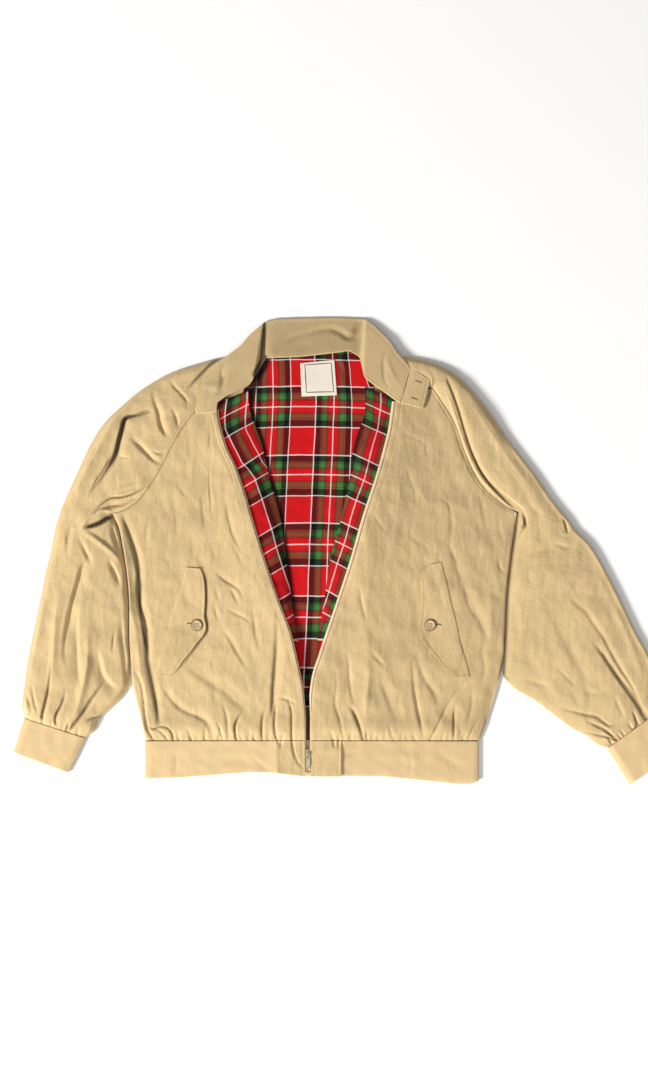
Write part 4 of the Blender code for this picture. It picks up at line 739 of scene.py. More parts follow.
def cloth_wall(name, outer, inner, uv, finish, wear, closed=0):
    """Closed wall between two grids of points. In the first `closed` rows the last column is the first one again."""
    rows, cols = outer.shape[:2]
    count = rows * cols
    place = np.arange(count).reshape(rows, cols)
    number = place.copy()
    number[:closed, -1] = number[:closed, 0]
    quads, places = [cells(number), cells(number)[:, ::-1] + count], [cells(place), cells(place)[:, ::-1]]
    for loop, spot in zip(rims(number, closed), rims(place, closed)):
        quads.append(np.stack([loop[1:], loop[:-1], loop[:-1] + count, loop[1:] + count], -1))
        places.append(np.stack([spot[1:], spot[:-1], spot[:-1], spot[1:]], -1))
    used, index = np.unique(np.concatenate(quads).ravel(), return_inverse=True)
    quads, places = index.reshape(-1, 4), np.concatenate(places)
    vertices = np.concatenate([outer.reshape(-1, 3), inner.reshape(-1, 3)])[used]
    if not outward(vertices, quads):
        quads, places = quads[:, ::-1], places[:, ::-1]
    piece = link_mesh(name, vertices, quads, uv.reshape(-1, 2)[places], finish)
    # the stored number: rubbed pale above 0, painted shade below 0
    layer = piece.data.attributes.new("wear", "FLOAT", "POINT")
    layer.data.foreach_set("value", np.tile(wear.ravel(), 2)[used].astype(np.float32))
    print(f"{name}: {len(quads)} quads, {2 * len(quads)} triangles")
    return piece


def dress(piece, slot, node=None):
    """The piece rides on the garment, takes the record's slot and stands for this solid, if any."""
    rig.ride(piece, "garment")
    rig.slot(piece, slot)
    if node:
        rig.replaces(piece, node)


def across_rows(first, second, edge_steps, count):
    """P = A + (B - A) * d / width on each row, and d and width - d: set small d at both ends, equal steps between."""
    steps = np.array(edge_steps, float)
    width = np.linalg.norm(second - first, axis=1)[:, None]
    low = np.broadcast_to(steps[:-1], (len(first), len(steps) - 1))
    middle = steps[-1] + np.linspace(0.0, 1.0, count)[None, :] * (width - 2 * steps[-1])
    distance = np.concatenate([low, middle, (width - low)[:, ::-1]], axis=1)
    plan = first[:, None, :] + (second - first)[:, None, :] * (distance / width)[..., None]
    return plan, distance, width - distance


def round_off(distance, radius):
    """How far a rounded rim has dropped at this distance in: r - sqrt(r^2 - (r - d)^2)."""
    d = np.clip(distance, 0.0, radius)
    return radius - np.sqrt(np.clip(radius**2 - (radius - d) ** 2, 0.0, None))


def rows_of(length, fine_length, fine_step, step):
    """Stations along an edge as fractions: small steps first, then wider ones."""
    fine = np.arange(0.0, fine_length, fine_step)
    rest = np.linspace(fine_length, length, max(2, round((length - fine_length) / step)))
    return np.concatenate([fine, rest]) / length


print("helpers ready")

# %% [markdown]
# ## Cloth as a material
#
# Plain woven cotton looks even from afar and like a fine basket from near. An image could carry that, but a few
# nodes follow the piece's own measure in millimetres and stay sharp at any distance. Each piece stores two things
# for the shader: its place on the cut cloth (the UV, in millimetres) and one number for rubbing and painted shade.
# Above 0 the point is rubbed pale, as along edges and seams; below 0 it gets painted shade, dark and warm, where it
# lies deep in a crease, between layers or in the shadow of another piece.

# %% small helpers for materials
def new_material(name):
    """An empty material, its tree and its Principled shader."""
    made = bpy.data.materials.new(name)
    made.use_nodes = True
    tree = made.node_tree
    return made, tree, tree.nodes["Principled BSDF"]


def add(tree, kind, values=None, **settings):
    """A node of this kind with its settings, and its inputs set to a value or linked to a socket."""
    node = tree.nodes.new(kind)
    for key, value in settings.items():
        setattr(node, key, value)
    for key, value in (values or {}).items():
        if isinstance(value, bpy.types.NodeSocket):
            tree.links.new(value, node.inputs[key])
        else:
            node.inputs[key].default_value = value
    return node


def maths(tree, operation, first, second=0.0, third=0.0):
    """One sum, product or other step on numbers or sockets."""
    return add(tree, "ShaderNodeMath", {0: first, 1: second, 2: third}, operation=operation).outputs[0]


def mixed(tree, part, first, second):
    """Colour between two colours or sockets, by part from 0 to 1."""
    first, second = ((*side, 1.0) if isinstance(side, tuple) else side for side in (first, second))
    return add(tree, "ShaderNodeMix", {0: part, 6: first, 7: second}, data_type="RGBA", clamp_factor=True).outputs[2]


def shaded(colour, factor):
    """The colour times a factor."""
    return tuple(c * factor for c in colour)


def stretched(tree, where, *scale):
    """The coordinates times this scale along each axis."""
    return add(tree, "ShaderNodeMapping", {"Vector": where, "Scale": scale}).outputs[0]


def noise(tree, where, scale, detail=3.0, rough=0.55):
    """Noise between 0 and 1 at this scale, in waves per unit of the coordinates."""
    settings = {"Vector": where, "Scale": scale, "Detail": detail, "Roughness": rough}
    return add(tree, "ShaderNodeTexNoise", settings).outputs["Fac"]


def spans(tree, value, low, high, to_low=0.0, to_high=1.0):
    """The value's span from low to high carried to another span, held at its ends."""
    values = {"Value": value, "From Min": low, "From Max": high, "To Min": to_low, "To Max": to_high}
    return add(tree, "ShaderNodeMapRange", values).outputs["Result"]


def on_cloth(tree):
    """The place on the cut cloth, with its two parts, in millimetres."""
    uv = add(tree, "ShaderNodeUVMap", uv_map="cloth").outputs["UV"]
    parts = add(tree, "ShaderNodeSeparateXYZ", {"Vector": uv})
    return uv, parts.outputs["X"], parts.outputs["Y"]


def threads(tree, place, pitch, phase=0.0):
    """Rounded threads side by side: 0.5 + 0.5 * sin(2 pi * place / pitch)."""
    turn = maths(tree, "MULTIPLY_ADD", place, 2 * math.pi / pitch, phase)
    return maths(tree, "MULTIPLY_ADD", maths(tree, "SINE", turn), 0.5, 0.5)


def weave(tree, u, v, pitch):
    """Plain weave: where warp threads are high weft threads are low, so height = warp * weft + (1-warp) * (1-weft)."""
    warp, weft = threads(tree, u, pitch), threads(tree, v, pitch)
    both = maths(tree, "MULTIPLY", warp, weft)
    neither = maths(tree, "MULTIPLY", maths(tree, "SUBTRACT", 1.0, warp), maths(tree, "SUBTRACT", 1.0, weft))
    return maths(tree, "ADD", both, neither)


def worn_and_dark(tree):
    """The stored number in two parts: how far it is above 0, where the cloth is rubbed pale, and how far below, which
    is painted shade.
    """
    wear = add(tree, "ShaderNodeAttribute", attribute_name="wear").outputs["Fac"]
    return maths(tree, "MAXIMUM", wear, 0.0), maths(tree, "MAXIMUM", maths(tree, "MULTIPLY", wear, -1.0), 0.0)


def surface(tree, shader, base, roughness, sheen, specular):
    """Colour and roughness are linked. Cotton's fuzz and its faint gloss are the same all over, so they are set."""
    tree.links.new(base, shader.inputs["Base Color"])
    tree.links.new(roughness, shader.inputs["Roughness"])
    shader.inputs["Sheen Weight"].default_value = sheen
    shader.inputs["Sheen Roughness"].default_value = 0.5
    shader.inputs["Specular IOR Level"].default_value = specular


def bumps(tree, shader, *layers):
    """Bump nodes one after another, each with its height, strength and distance in metres."""
    last = None
    for height, strength, distance in layers:
        values = {"Height": height, "Strength": strength, "Distance": distance}
        if last:
            values["Normal"] = last
        last = add(tree, "ShaderNodeBump", values).outputs["Normal"]
    tree.links.new(last, shader.inputs["Normal"])


print("material helpers ready")

# %% cotton, rib knit, tape, label, thread
def deep_shade(tree, deep, base, colour):
    """Painted shade: in a crease, between layers or in a cast shadow the colour falls nearly to 0.12 of its own square,
    so it gets dark and warm.
    """
    return mixed(tree, maths(tree, "MULTIPLY", deep, 0.93), base, tuple(c * c * 0.12 for c in colour))


def cotton(name, colour, pale, weave_pitch=0.62, creased=1.0):
    """Cotton: colour with two sizes of mottling, paler where rubbed along edges, painted shade in creases and shadows,
    a plain weave and small creases.
    """
    made, tree, shader = new_material(name)
    uv, u, v = on_cloth(tree)
    slubs = noise(tree, stretched(tree, uv, 0.5, 0.07, 1.0), 1.0, 3.0)
    base = mixed(tree, spans(tree, noise(tree, uv, 0.012, 2.0), 0.3, 0.7), shaded(colour, 0.86), colour)
    base = mixed(tree, spans(tree, slubs, 0.35, 0.75, 0.0, 0.35), base, pale)
    worn, deep = worn_and_dark(tree)
    rubbed = maths(tree, "MULTIPLY", worn, spans(tree, noise(tree, uv, 0.16, 4.0), 0.35, 0.65, 0.25, 1.0))
    base = mixed(tree, maths(tree, "MULTIPLY", rubbed, 0.55), base, pale)
    cloth = weave(tree, u, v, weave_pitch)
    base = mixed(tree, maths(tree, "MULTIPLY", cloth, 0.09), base, shaded(colour, 0.6))
    base = deep_shade(tree, deep, base, colour)
    surface(tree, shader, base, spans(tree, rubbed, 0.0, 1.0, 0.86, 0.95), 0.25, 0.25)
    soft = noise(tree, stretched(tree, uv, 0.085, 0.032, 1.0), 1.0, 4.0, 0.6)
    ridges = maths(tree, "ABSOLUTE", maths(tree, "SUBTRACT", noise(tree, uv, 0.038, 2.0), 0.5))
    bumps(tree, shader, (soft, 0.24 * creased, 0.002), (spans(tree, ridges, 0.0, 0.05), 0.18 * creased, 0.0006),
          (slubs, 0.3 * creased, 0.0006), (cloth, 0.22, 0.0002))
    return made


def rib_knit(name, colour, pale, pitch=3.1):
    """Rib knit: columns of round ribs across the band, each rib a chain of small slanted stitches."""
    made, tree, shader = new_material(name)
    uv, u, v = on_cloth(tree)
    across = maths(tree, "ADD", u, spans(tree, noise(tree, uv, 0.02, 2.0), 0.0, 1.0, -1.2, 1.2))
    rib = threads(tree, across, pitch)
    slant = maths(tree, "SINE", maths(tree, "MULTIPLY", across, math.pi / pitch))
    stitch = threads(tree, maths(tree, "MULTIPLY_ADD", maths(tree, "ABSOLUTE", slant), 1.1, v), 1.5)
    base = mixed(tree, spans(tree, rib, 0.0, 0.55), shaded(colour, 0.955), colour)
    base = mixed(tree, maths(tree, "MULTIPLY", stitch, 0.2), base, pale)
    worn, deep = worn_and_dark(tree)
    patches = spans(tree, noise(tree, uv, 0.1, 3.0), 0.3, 0.7, 0.1, 0.5)
    base = mixed(tree, maths(tree, "MULTIPLY", worn, patches), base, pale)
    # painted shade in creases and shadows
    base = deep_shade(tree, deep, base, colour)
    surface(tree, shader, base, spans(tree, rib, 0.0, 1.0, 0.96, 0.86), 0.35, 0.2)
    bumps(tree, shader, (noise(tree, uv, 0.05, 3.0), 0.4, 0.002), (rib, 0.16, 0.0004), (stitch, 0.18, 0.0002))
    return made


TAN, TAN_PALE = (0.632, 0.453, 0.219), (0.785, 0.62, 0.362)
RIB_TAN, RIB_PALE = (0.69, 0.495, 0.25), (0.80, 0.625, 0.375)
SHELL_CLOTH = cotton("tan_cotton", TAN, TAN_PALE)
# painted shade: the collar and the throat tab take a darker copy of the shell's tan for the shade that lies on them
COLLAR_CLOTH = cotton("shaded_tan_collar_cotton", shaded(TAN, 0.88), shaded(TAN_PALE, 0.9), creased=0.6)
RIB_CLOTH = rib_knit("tan_rib_knit", RIB_TAN, RIB_PALE)
TAPE_CLOTH = cotton("tan_zip_tape", (0.76, 0.54, 0.33), (0.88, 0.70, 0.48), 0.9, 0.3)
LABEL_CLOTH = cotton("cream_label", (0.84, 0.76, 0.62), (0.90, 0.86, 0.76), 0.4, 0.15)
BORDER_CLOTH = cotton("dark_green_border", (0.03, 0.05, 0.04), (0.05, 0.09, 0.07), 0.5)
THREAD = cotton("tan_thread", (0.56, 0.40, 0.20), (0.70, 0.54, 0.32), 0.5)
print("cloths:", [m.name for m in bpy.data.materials if "tan" in m.name or "cream" in m.name])

# %% [markdown]
# ## Tartan
#
# A tartan is one list of coloured threads, the sett, used for both the warp and the weft and mirrored at its
# pivots. Where a red warp crosses a green weft the eye sees the two mixed. So the shader looks the sett up twice,
# once for each part of the UV, which here counts repeats instead of millimetres. A dark yarn swallows more of a
# bright one than an even mix would, so the two are averaged as low powers of their brightness. White yarns are
# thicker and stand up, so their stops carry an alpha that pulls the mix back to white.

# %% the tartan
RED, WHITE, BLACK = (0.81, 0.08, 0.105), (1.0, 0.97, 0.92), (0.022, 0.035, 0.03)
GREEN, YELLOW, DEEP_GREEN = (0.25, 0.50, 0.25), (0.62, 0.57, 0.28), (0.09, 0.21, 0.11)
MID_GREEN, MID_RED = (0.15, 0.34, 0.165), (0.58, 0.045, 0.07)
# where each stripe starts, as a part of the repeat
SETT = [(0.0, RED), (0.349, WHITE), (0.369, BLACK), (0.452, DEEP_GREEN), (0.470, YELLOW), (0.476, MID_GREEN),
        (0.494, GREEN), (0.558, MID_GREEN), (0.574, MID_RED), (0.592, RED), (0.665, WHITE), (0.685, RED),
        (0.758, MID_RED), (0.776, MID_GREEN), (0.792, GREEN), (0.856, MID_GREEN), (0.874, YELLOW),
        (0.880, DEEP_GREEN), (0.898, BLACK), (0.981, WHITE)]
MIX_POWER = 0.68


def sett_lookup(tree, place):
    """The stripe at this place: a ramp of flat steps read at the part of the place after the decimal point."""
    ramp = add(tree, "ShaderNodeValToRGB", {"Fac": maths(tree, "FRACT", place)})
    ramp.color_ramp.interpolation = "CONSTANT"
    stops = ramp.color_ramp.elements
    while len(stops) < len(SETT):
        stops.new(0.5 + 0.01 * len(stops))
    for stop, (start, _) in zip(stops, SETT):
        stop.position = start
    for stop, (_, colour) in zip(stops, SETT):
        stop.color = (*(c**MIX_POWER for c in colour), 1.0 if colour == WHITE else 0.0)
    return ramp.outputs["Color"], ramp.outputs["Alpha"]


def tartan_cloth(name):
    """Colour = ((warp^0.68 + weft^0.68) / 2)^(2.2 / 0.68), pulled to white on white yarns, with a fine twill."""
    made, tree, shader = new_material(name)
    uv, u, v = on_cloth(tree)
    u = maths(tree, "ADD", u, spans(tree, noise(tree, uv, 2.6, 2.0), 0.2, 0.8, -0.007, 0.007))
    v = maths(tree, "ADD", v, spans(tree, noise(tree, uv, 3.1, 2.0), 0.2, 0.8, -0.007, 0.007))
    twill = threads(tree, maths(tree, "ADD", u, v), 1.0 / 96.0)
    part = maths(tree, "MULTIPLY_ADD", twill, 0.4, 0.3)
    (warp, warp_white), (weft, weft_white) = sett_lookup(tree, u), sett_lookup(tree, v)
    both = mixed(tree, part, warp, weft)
    flecks = noise(tree, uv, 60.0, 2.0)
    both = mixed(tree, spans(tree, flecks, 0.3, 0.8, 0.0, 0.12), both, (0.1, 0.1, 0.1))
    linear = add(tree, "ShaderNodeGamma", {"Color": both, "Gamma": 2.2 / MIX_POWER}).outputs[0]
    standing = maths(tree, "MULTIPLY", maths(tree, "MAXIMUM", warp_white, weft_white), 0.46)
    crossing = maths(tree, "MULTIPLY", maths(tree, "MULTIPLY", warp_white, weft_white), 0.4)
    linear = mixed(tree, maths(tree, "ADD", standing, crossing), linear, (0.96, 0.80, 0.76))
    # painted shade: the tartan falls nearly to black in creases and in the shadow of the rolled strip and the collar
    _, deep = worn_and_dark(tree)
    linear = mixed(tree, maths(tree, "MULTIPLY", deep, 0.97), linear, (0.004, 0.003, 0.003))
    surface(tree, shader, linear, spans(tree, flecks, 0.2, 0.8, 0.78, 0.92), 0.08, 0.15)
    bumps(tree, shader, (noise(tree, uv, 3.0, 3.0), 0.5, 0.0016), (twill, 0.3, 0.0002))
    return made


TARTAN = tartan_cloth("red_tartan")
print("stripes in one repeat:", len(SETT))

# %% [markdown]
# ## Back and its lining
#
# The back is one panel that lies on the table. Only its lining shows from above, in the V between the fronts. It
# droops between the layers around it, so it gets broad shallow waves and one small crease under the collar.

# %% the back panel
EDGE_STEPS = (0.0, 0.3, 0.8, 1.8, 3.5)


def stations(length, step, lead=EDGE_STEPS):
    """Distances along a length: set ones near both ends, equal steps between."""
    lead = np.array(lead)
    count = max(3, round((length - 2 * lead[-1]) / step) + 1)
    return np.concatenate([lead[:-1], np.linspace(lead[-1], length - lead[-1], count), (length - lead[:-1])[::-1]])


def wear_at(*distances):
    """1 at an edge, falling to 0 about 5 mm in: the most of exp(-d / 2.2) over these distances."""
    return np.max([np.exp(-np.asarray(d) / 2.2) for d in distances], axis=0)


def panel(name, first, second, top_of, wall, finish, step=2.4, row_step=2.6, uv_of=None, round_ends=True, edge=0.7,
          wear_of=None, thin=0.0):
    """A sheet between two lines, its edges rounded. Height = top_of(x, y, part across, part along).

    Where it is sewn down along the first line, both height and wall are less by thin * exp(-d / 3).
    """
    length = max(length_of(first), length_of(second))
    along = stations(length, row_step) if round_ends else np.linspace(0, length, round(length / row_step) + 1)
    a, b = resample(first, along / length), resample(second, along / length)
    width = float(np.linalg.norm(b - a, axis=1).max())
    columns = max(4, round((width - 7.0) / step) + 1)
    plan, near, far = across_rows(a[:, :2], b[:, :2], EDGE_STEPS, columns)
    part = near / (near + far)
    x, y = plan[..., 0], plan[..., 1]
    pressed = thin * np.exp(-near / 3.0)
    wall = wall - pressed
    top = top_of(x, y, part, (along / length)[:, None] + 0.0 * part) - pressed
    ends = np.minimum(along, length - along)[:, None] + 0.0 * near
    bevel = np.maximum(round_off(near, edge), round_off(far, edge))
    if round_ends:
        bevel = np.maximum(bevel, round_off(ends, edge))
    outer = np.dstack([x, y, top - bevel])
    inner = np.dstack([x, y, np.minimum(top - wall + bevel, top - bevel - 0.15)])
    uv = np.dstack([x, y]) if uv_of is None else uv_of(x, y, part)
    wear = wear_at(near, far, ends) if round_ends else wear_at(near, far)
    if wear_of:
        wear = wear_of(x, y)
    return cloth_wall(name, outer, inner, uv, finish, wear), outer


def back_edges():
    """The back's two side edges from the waistband to the neck."""
    low, high = np.linspace(0, 1, 60), np.linspace(0, 1, 61)[1:]
    edges = []
    for side, raglan, neck in ((RIGHT_SIDE_LOW + RIGHT_SIDE_HIGH, RIGHT_RAGLAN, BACK_NECK_RIGHT),
                               (LEFT_SIDE_LOW + LEFT_SIDE_HIGH, LEFT_RAGLAN, BACK_NECK_LEFT)):
        upper = np.vstack([smooth_line(raglan), smooth_line([raglan[-1], *neck])])
        edges.append(np.vstack([resample(smooth_line(side), low), resample(upper, high)]))
    return pulled_in(*edges, SEAM_GAP), pulled_in(*edges[::-1], SEAM_GAP)


def flat_top(x, y, part, along):
    """Height = the shell's thickness, as the back lies on the table."""
    return 0.0 * x + SHELL


def back_wear(x, y):
    """Painted shade in the gap of the zip: -exp(-(d / 22)^2) below the end of the lining, with d across from the pull.
    """
    return -hump(x - PULL[0], 22.0) * np.clip((-180.0 - y) / 30.0, 0.0, 1.0)


BACK, _ = panel("back_cloth", *back_edges(), flat_top, SHELL, SHELL_CLOTH, 9.0, 9.0, edge=0.6, wear_of=back_wear)
dress(BACK, "cotton_shell", "back")
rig.sheet(BACK, flat=(0.606, 0.580), area=0.300, held="laid")

# %% the back lining
# y, then x of seven white lines of the warp, whose places in the sett are WARP_PLACES
BACK_WARP = np.array([
    (-193.5, -163.5, -126, -96, -66, -36, -7.5, 24), (-133.5, -159, -123, -94.5, -63, -33.8, -6, 25.5),
    (-73.5, -154.5, -121.5, -93, -60, -31.5, -3, 27), (9, -150, -121.5, -93.8, -57, -29.2, -1.5, 28.5),
    (76.5, -145.5, -118.5, -90.8, -54, -25.5, 3, 33), (144, -142.5, -115.5, -87.8, -51, -22.5, 6, 36),
    (181.5, -139.5, -113.2, -85.5, -48.8, -21, 7.5, 37.5), (226.5, -138, -111, -83.2, -47.2, -19.5, 8.2, 39),
    (271.5, -136.5, -111.8, -84, -48, -20.2, 5.2, 24), (294, -136.5, -112.5, -84.8, -49.5, -21.8, 2.2, 22.5),
])
WARP_PLACES = np.array([-0.65, -0.325, 0.0, 0.35, 0.675, 1.0, 1.35])
# y of a white line of the weft, its place in the sett
BACK_WEFT = np.array([(-253.5, 4.2), (-205.5, 3.675), (-175.5, 3.35), (-133.5, 3), (-100.5, 2.675), (-67.5, 2.35),
                      (-24, 2), (9, 1.675), (42, 1.35), (81, 1), (114, 0.675), (144, 0.35), (184.5, 0), (216, -0.325),
                      (247.5, -0.65), (285.8, -1), (316.5, -1.325)])
BACK_LINING = np.array([
    (-72, -236, -50, -236), (-76, -208, -44, -208), (-86, -164, -32, -164), (-92, -118, -21, -118),
    (-100, -58, -18, -58), (-106, -14, -6, -14), (-116, 46, 6, 46), (-129, 106, 20, 106), (-141, 148, 24, 148),
    (-152, 182, 34, 182), (-158, 219, 44, 219), (-155, 244, 40, 246), (-142, 268, 32, 272), (-134, 292, 21, 304),
], float)
LINING_TOP = 3.1
LINING_FOLDS = drawn([
    (7, 9, 0.3, (-16, 292), (-4, 282, 1.3), (8, 266)), (5, 5, 0.3, (-22, 296), (-10, 276, -0.9), (2, 260)),
    (16, 16, 0.2, (-112, 250), (-96, 180, 0.8), (-92, 90)), (18, 18, 0.2, (-40, 230), (-48, 140, 0.7), (-52, 40)),
    (14, 14, 0.2, (-70, 60), (-62, -20, 0.9), (-60, -110)), (10, 8, 0.2, (-126, 262), (-110, 270, 1), (-84, 288)),
    (12, 12, 0.2, (10, 200), (-2, 120, -0.5), (-16, 40)),
])


def warp_place(x, y):
    """Place in the sett of a point: the seven lines' x at this y, then the place between the two lines around x."""
    lines = np.stack([np.interp(y, BACK_WARP[:, 0], line) for line in BACK_WARP.T[1:]], axis=-1)
    k = np.clip((x[..., None] > lines).sum(axis=-1) - 1, 0, len(WARP_PLACES) - 2)
    low = np.take_along_axis(lines, k[..., None], -1)[..., 0]
    high = np.take_along_axis(lines, k[..., None] + 1, -1)[..., 0]
    return WARP_PLACES[k] + (WARP_PLACES[k + 1] - WARP_PLACES[k]) * (x - low) / (high - low)


def back_lining_uv(x, y, part):
    """Places in the sett of warp and weft, the weft's lines bowed by 1.2 mm * sin(x / 40)."""
    bow = 1.2 * np.sin(x / 40.0)
    return np.dstack([warp_place(x, y), np.interp(y + bow, *BACK_WEFT.T)])


def back_lining_top(x, y, part, along):
    """Lining height + folds, kept within half a millimetre at the edges, where the fronts' linings lie on it."""
    free = np.clip(4 * part * (1 - part), 0, 1) ** 0.5
    return LINING_TOP + np.maximum(folds(x, y, LINING_FOLDS) + 0.3 * crumple(x, y, 30.0, 8), -0.9) * free


# the line along which the right front's lining rolls over the back's, and the collar's edge above it: x, y, depth of
# the painted shadow there
ROLL_LINE = drawn([
    (9, 7, 0.0, (-76, -130), (-80, -96, -3), (-84, -66, -4), (-88, -32, -4), (-94, 9, -4), (-99, 44, -4),
     (-106, 76, -4), (-116, 110, -4), (-122, 136, -4), (-128, 162, -4), (-136, 184, -4), (-143, 214, -5),
     (-142, 240, -5)),
    (12, 12, 0.0, (-151, 226, -6), (-146, 240, -10), (-141, 254, -11), (-134, 268, -11), (-127, 280, -11),
     (-122, 292, -9)),
])


def lining_wear(x, y):
    """Painted shadow, below 0 where the lining lies deep beside the roll and under the collar: depth / 4, at most 0.96.
    """
    return -np.clip(-folds(x, y, ROLL_LINE) / 4.0, 0.0, 0.96)


LINING_PIECE, _ = panel(
    "back_tartan", *two_edges(BACK_LINING), back_lining_top, LINING,
    TARTAN, 2.4, 2.6, uv_of=back_lining_uv, edge=0.5, wear_of=lining_wear)
dress(LINING_PIECE, "tartan_lining", "back_lining")
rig.sheet(LINING_PIECE, flat=(0.202, 0.540), area=0.072, held="laid", rests_on=["back_cloth"])

# %% [markdown]
# ## Fronts
#
# Each front is cut with a slanted raglan seam above the armpit and a straight side seam below it. The cloth wall
# follows the shell's height function. Down the side seam it dips to the back panel, where the two are sewn.

# %% the two fronts
SIDE_TOP = 3.6


def front(name, node, side_low, side_high, raglan, zip_low, zip_high, slope, dip, shade, dull, cut):
    """Rows from hem to neck, each straight between side and zip; height = shell's - slope * exp(-(d / 13)^2).

    At the side it dips to the back panel: what is left of its height falls by exp(-(d / dip)^2).
    """
    side = side_low + side_high
    side_length, raglan_length = length_of(side), length_of(raglan)
    low = rows_of(side_length, 60.0, 1.7, 2.1)
    high = np.linspace(0.0, 1.0, round(raglan_length / 2.1) + 1)[1:]
    side_edge = np.vstack([resample(smooth_line(side), low), resample(smooth_line(raglan), high)])
    zip_edge = np.vstack([resample(smooth_line(zip_low), low), resample(smooth_line(zip_high), high)])
    side_edge = pulled_in(side_edge, zip_edge, SEAM_GAP)
    plan, from_side, from_zip = across_rows(side_edge, zip_edge, EDGE_STEPS, 142)
    x, y = plan[..., 0], plan[..., 1]
    run = np.concatenate([low * side_length, side_length + high * raglan_length])[:, None] + 0.0 * x
    below = np.clip((side_length - run) / 22.0, 0.0, 1.0)
    top = shell_top(x, y)
    top -= slope * hump(from_side, 13.0) * below
    top += (SIDE_TOP - top) * hump(from_side, dip) * below
    seam = 0.5 * hump(from_side - 3.5, 1.6) * (1 - below)
    placket = 0.35 * hump(from_zip - 9.0, 1.2)
    hem = 0.5 * hump(run, 3.0)
    bevel = np.maximum(round_off(from_zip, 0.8), round_off(run, 0.8))
    upper = top - bevel - seam - placket - hem
    outer, inner = np.dstack([x, y, upper]), np.dstack([x, y, np.minimum(top - SHELL + bevel, upper - 0.2)])
    # painted shade: dark along the side seam below the armpit, and a falloff that darkens the upper front away from the
    # zip
    free_side = np.clip((y + 200.0) / 20.0, 0.0, 1.0)
    dark = np.maximum(in_crease(x, y), shade * hump(from_side, 3.0) * below * free_side)
    dark = np.maximum(dark, np.interp(y, (-120.0, 60.0), dull) * (1.0 - np.exp(-from_zip / 12.0)))
    wear = wear_at(from_zip, run + 9.0 * below) * (1 - dark) - dark
    piece = cloth_wall(name, outer, inner, np.dstack([x, y]), SHELL_CLOTH, wear)
    dress(piece, "cotton_shell", node)
    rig.sheet(piece, flat=cut, held="laid", area=cut[0] * cut[1] * 0.82, rests_on=["back_cloth"])
    return outer


RIGHT_FRONT = front("right_front_cloth", "right_front", RIGHT_SIDE_LOW, RIGHT_SIDE_HIGH, RIGHT_RAGLAN, RIGHT_ZIP_LOW,
                    RIGHT_ZIP_HIGH, slope=0.0, dip=1.5, shade=0.35, dull=(0.01, 0.065), cut=(0.290, 0.505))
LEFT_FRONT = front("left_front_cloth", "left_front", LEFT_SIDE_LOW, LEFT_SIDE_HIGH, LEFT_RAGLAN, LEFT_ZIP_LOW,
                   LEFT_ZIP_HIGH, slope=2.4, dip=1.9, shade=0.97, dull=(0.075, 0.11), cut=(0.300, 0.530))

# %% [markdown]
# ## The tartan that rolls out past the zip
#
# Each front is lined, and as it falls open its lining rolls over the zip tape and down to the back's lining. On the
# right side it stands up and drops steeply, which throws a shadow; on the left it slopes gently. One formula does
# both, with another exponent. Its stripes run with the zip, so the UV is measured from the zip edge.

# %% the two lining strips
RIGHT_STRIP = np.array([(-82, -136, -73, -136), (-94, -96, -80, -96), (-106, -66, -84, -66), (-118, -32, -88, -32),
                        (-131, 9, -94, 9), (-142, 44, -99, 44), (-152, 76, -106, 76), (-164, 114, -116, 110),
                        (-174, 141, -122, 136), (-183, 160, -128, 162), (-190, 182, -136, 184), (-195, 208, -146, 214),
                        (-192, 224, -147, 240)], float)
LEFT_STRIP = np.array([(-30, -134, -44, -134), (-20, -104, -39, -104), (-10, -74, -34, -74), (-1, -44, -30, -44),
                       (8, -16, -26, -16), (19, 16, -18, 16), (28, 52, -9, 48), (37, 78, -3, 76), (47, 110, 4, 110),
                       (58, 148, 8, 148), (66, 176, 16, 177), (70, 200, 26, 202), (72, 220, 28, 224),
                       (66, 232, 27, 246)], float)
# y on the zip edge, place of the weft there
RIGHT_STRIP_WEFT = np.array([(-133.5, 3), (-102.8, 2.675), (-73.5, 2.35), (-37.5, 2), (-6, 1.675), (21, 1.35),
                             (64.5, 1), (94.5, 0.675), (122.2, 0.35), (166.5, 0), (196.5, -0.325), (226, -0.65)])
LEFT_STRIP_WEFT = np.array([(-133.5, 3), (-100.5, 2.675), (-69, 2.35), (-29.2, 2), (0, 1.675), (30, 1.35), (65.5, 1),
                            (96.5, 0.675), (126, 0.35), (170.2, 0), (202.5, -0.325), (232.5, -0.65)])
# y, distance from the zip edge to the white line at 0.35
RIGHT_STRIP_WARP = np.array([(-55.5, 23.2), (-13.5, 23.2), (39, 24.8), (84, 23.2), (109.5, 22.5), (121.5, 18),
                             (132, 12.8), (151.5, 12), (171, 9), (181.5, 6.8), (226.5, 13.5)])
REPEAT = 97.0
TAPE, TAPE_GAP, LAY_GAP = 1.1, 0.5, 0.3


def right_strip_uv(x, y, part):
    """The warp counts from the white line at 0.35, the weft where a slanted line through the point meets the zip."""
    away = x - zip_x(RIGHT_ZIP, y)
    warp = 0.35 + (away - np.interp(y, *RIGHT_STRIP_WARP.T)) / REPEAT
    return np.dstack([warp, np.interp(y - 0.5 * away * np.clip((y + 136.0) / 40.0, 0.0, 1.0), *RIGHT_STRIP_WEFT.T)])


def left_strip_uv(x, y, part):
    """The same with a steady distance between white lines, and stripes that wave a little."""
    away = zip_x(LEFT_ZIP, y) - x
    warp = 0.675 + (away / 1.08 - 20.0) / 90.0 + 0.012 * np.sin(y / 14.0) * np.clip(away / 40.0, 0, 1)
    return np.dstack([warp, np.interp(y - 0.43 * away * np.clip((y + 136.0) / 40.0, 0.0, 1.0), *LEFT_STRIP_WEFT.T)])


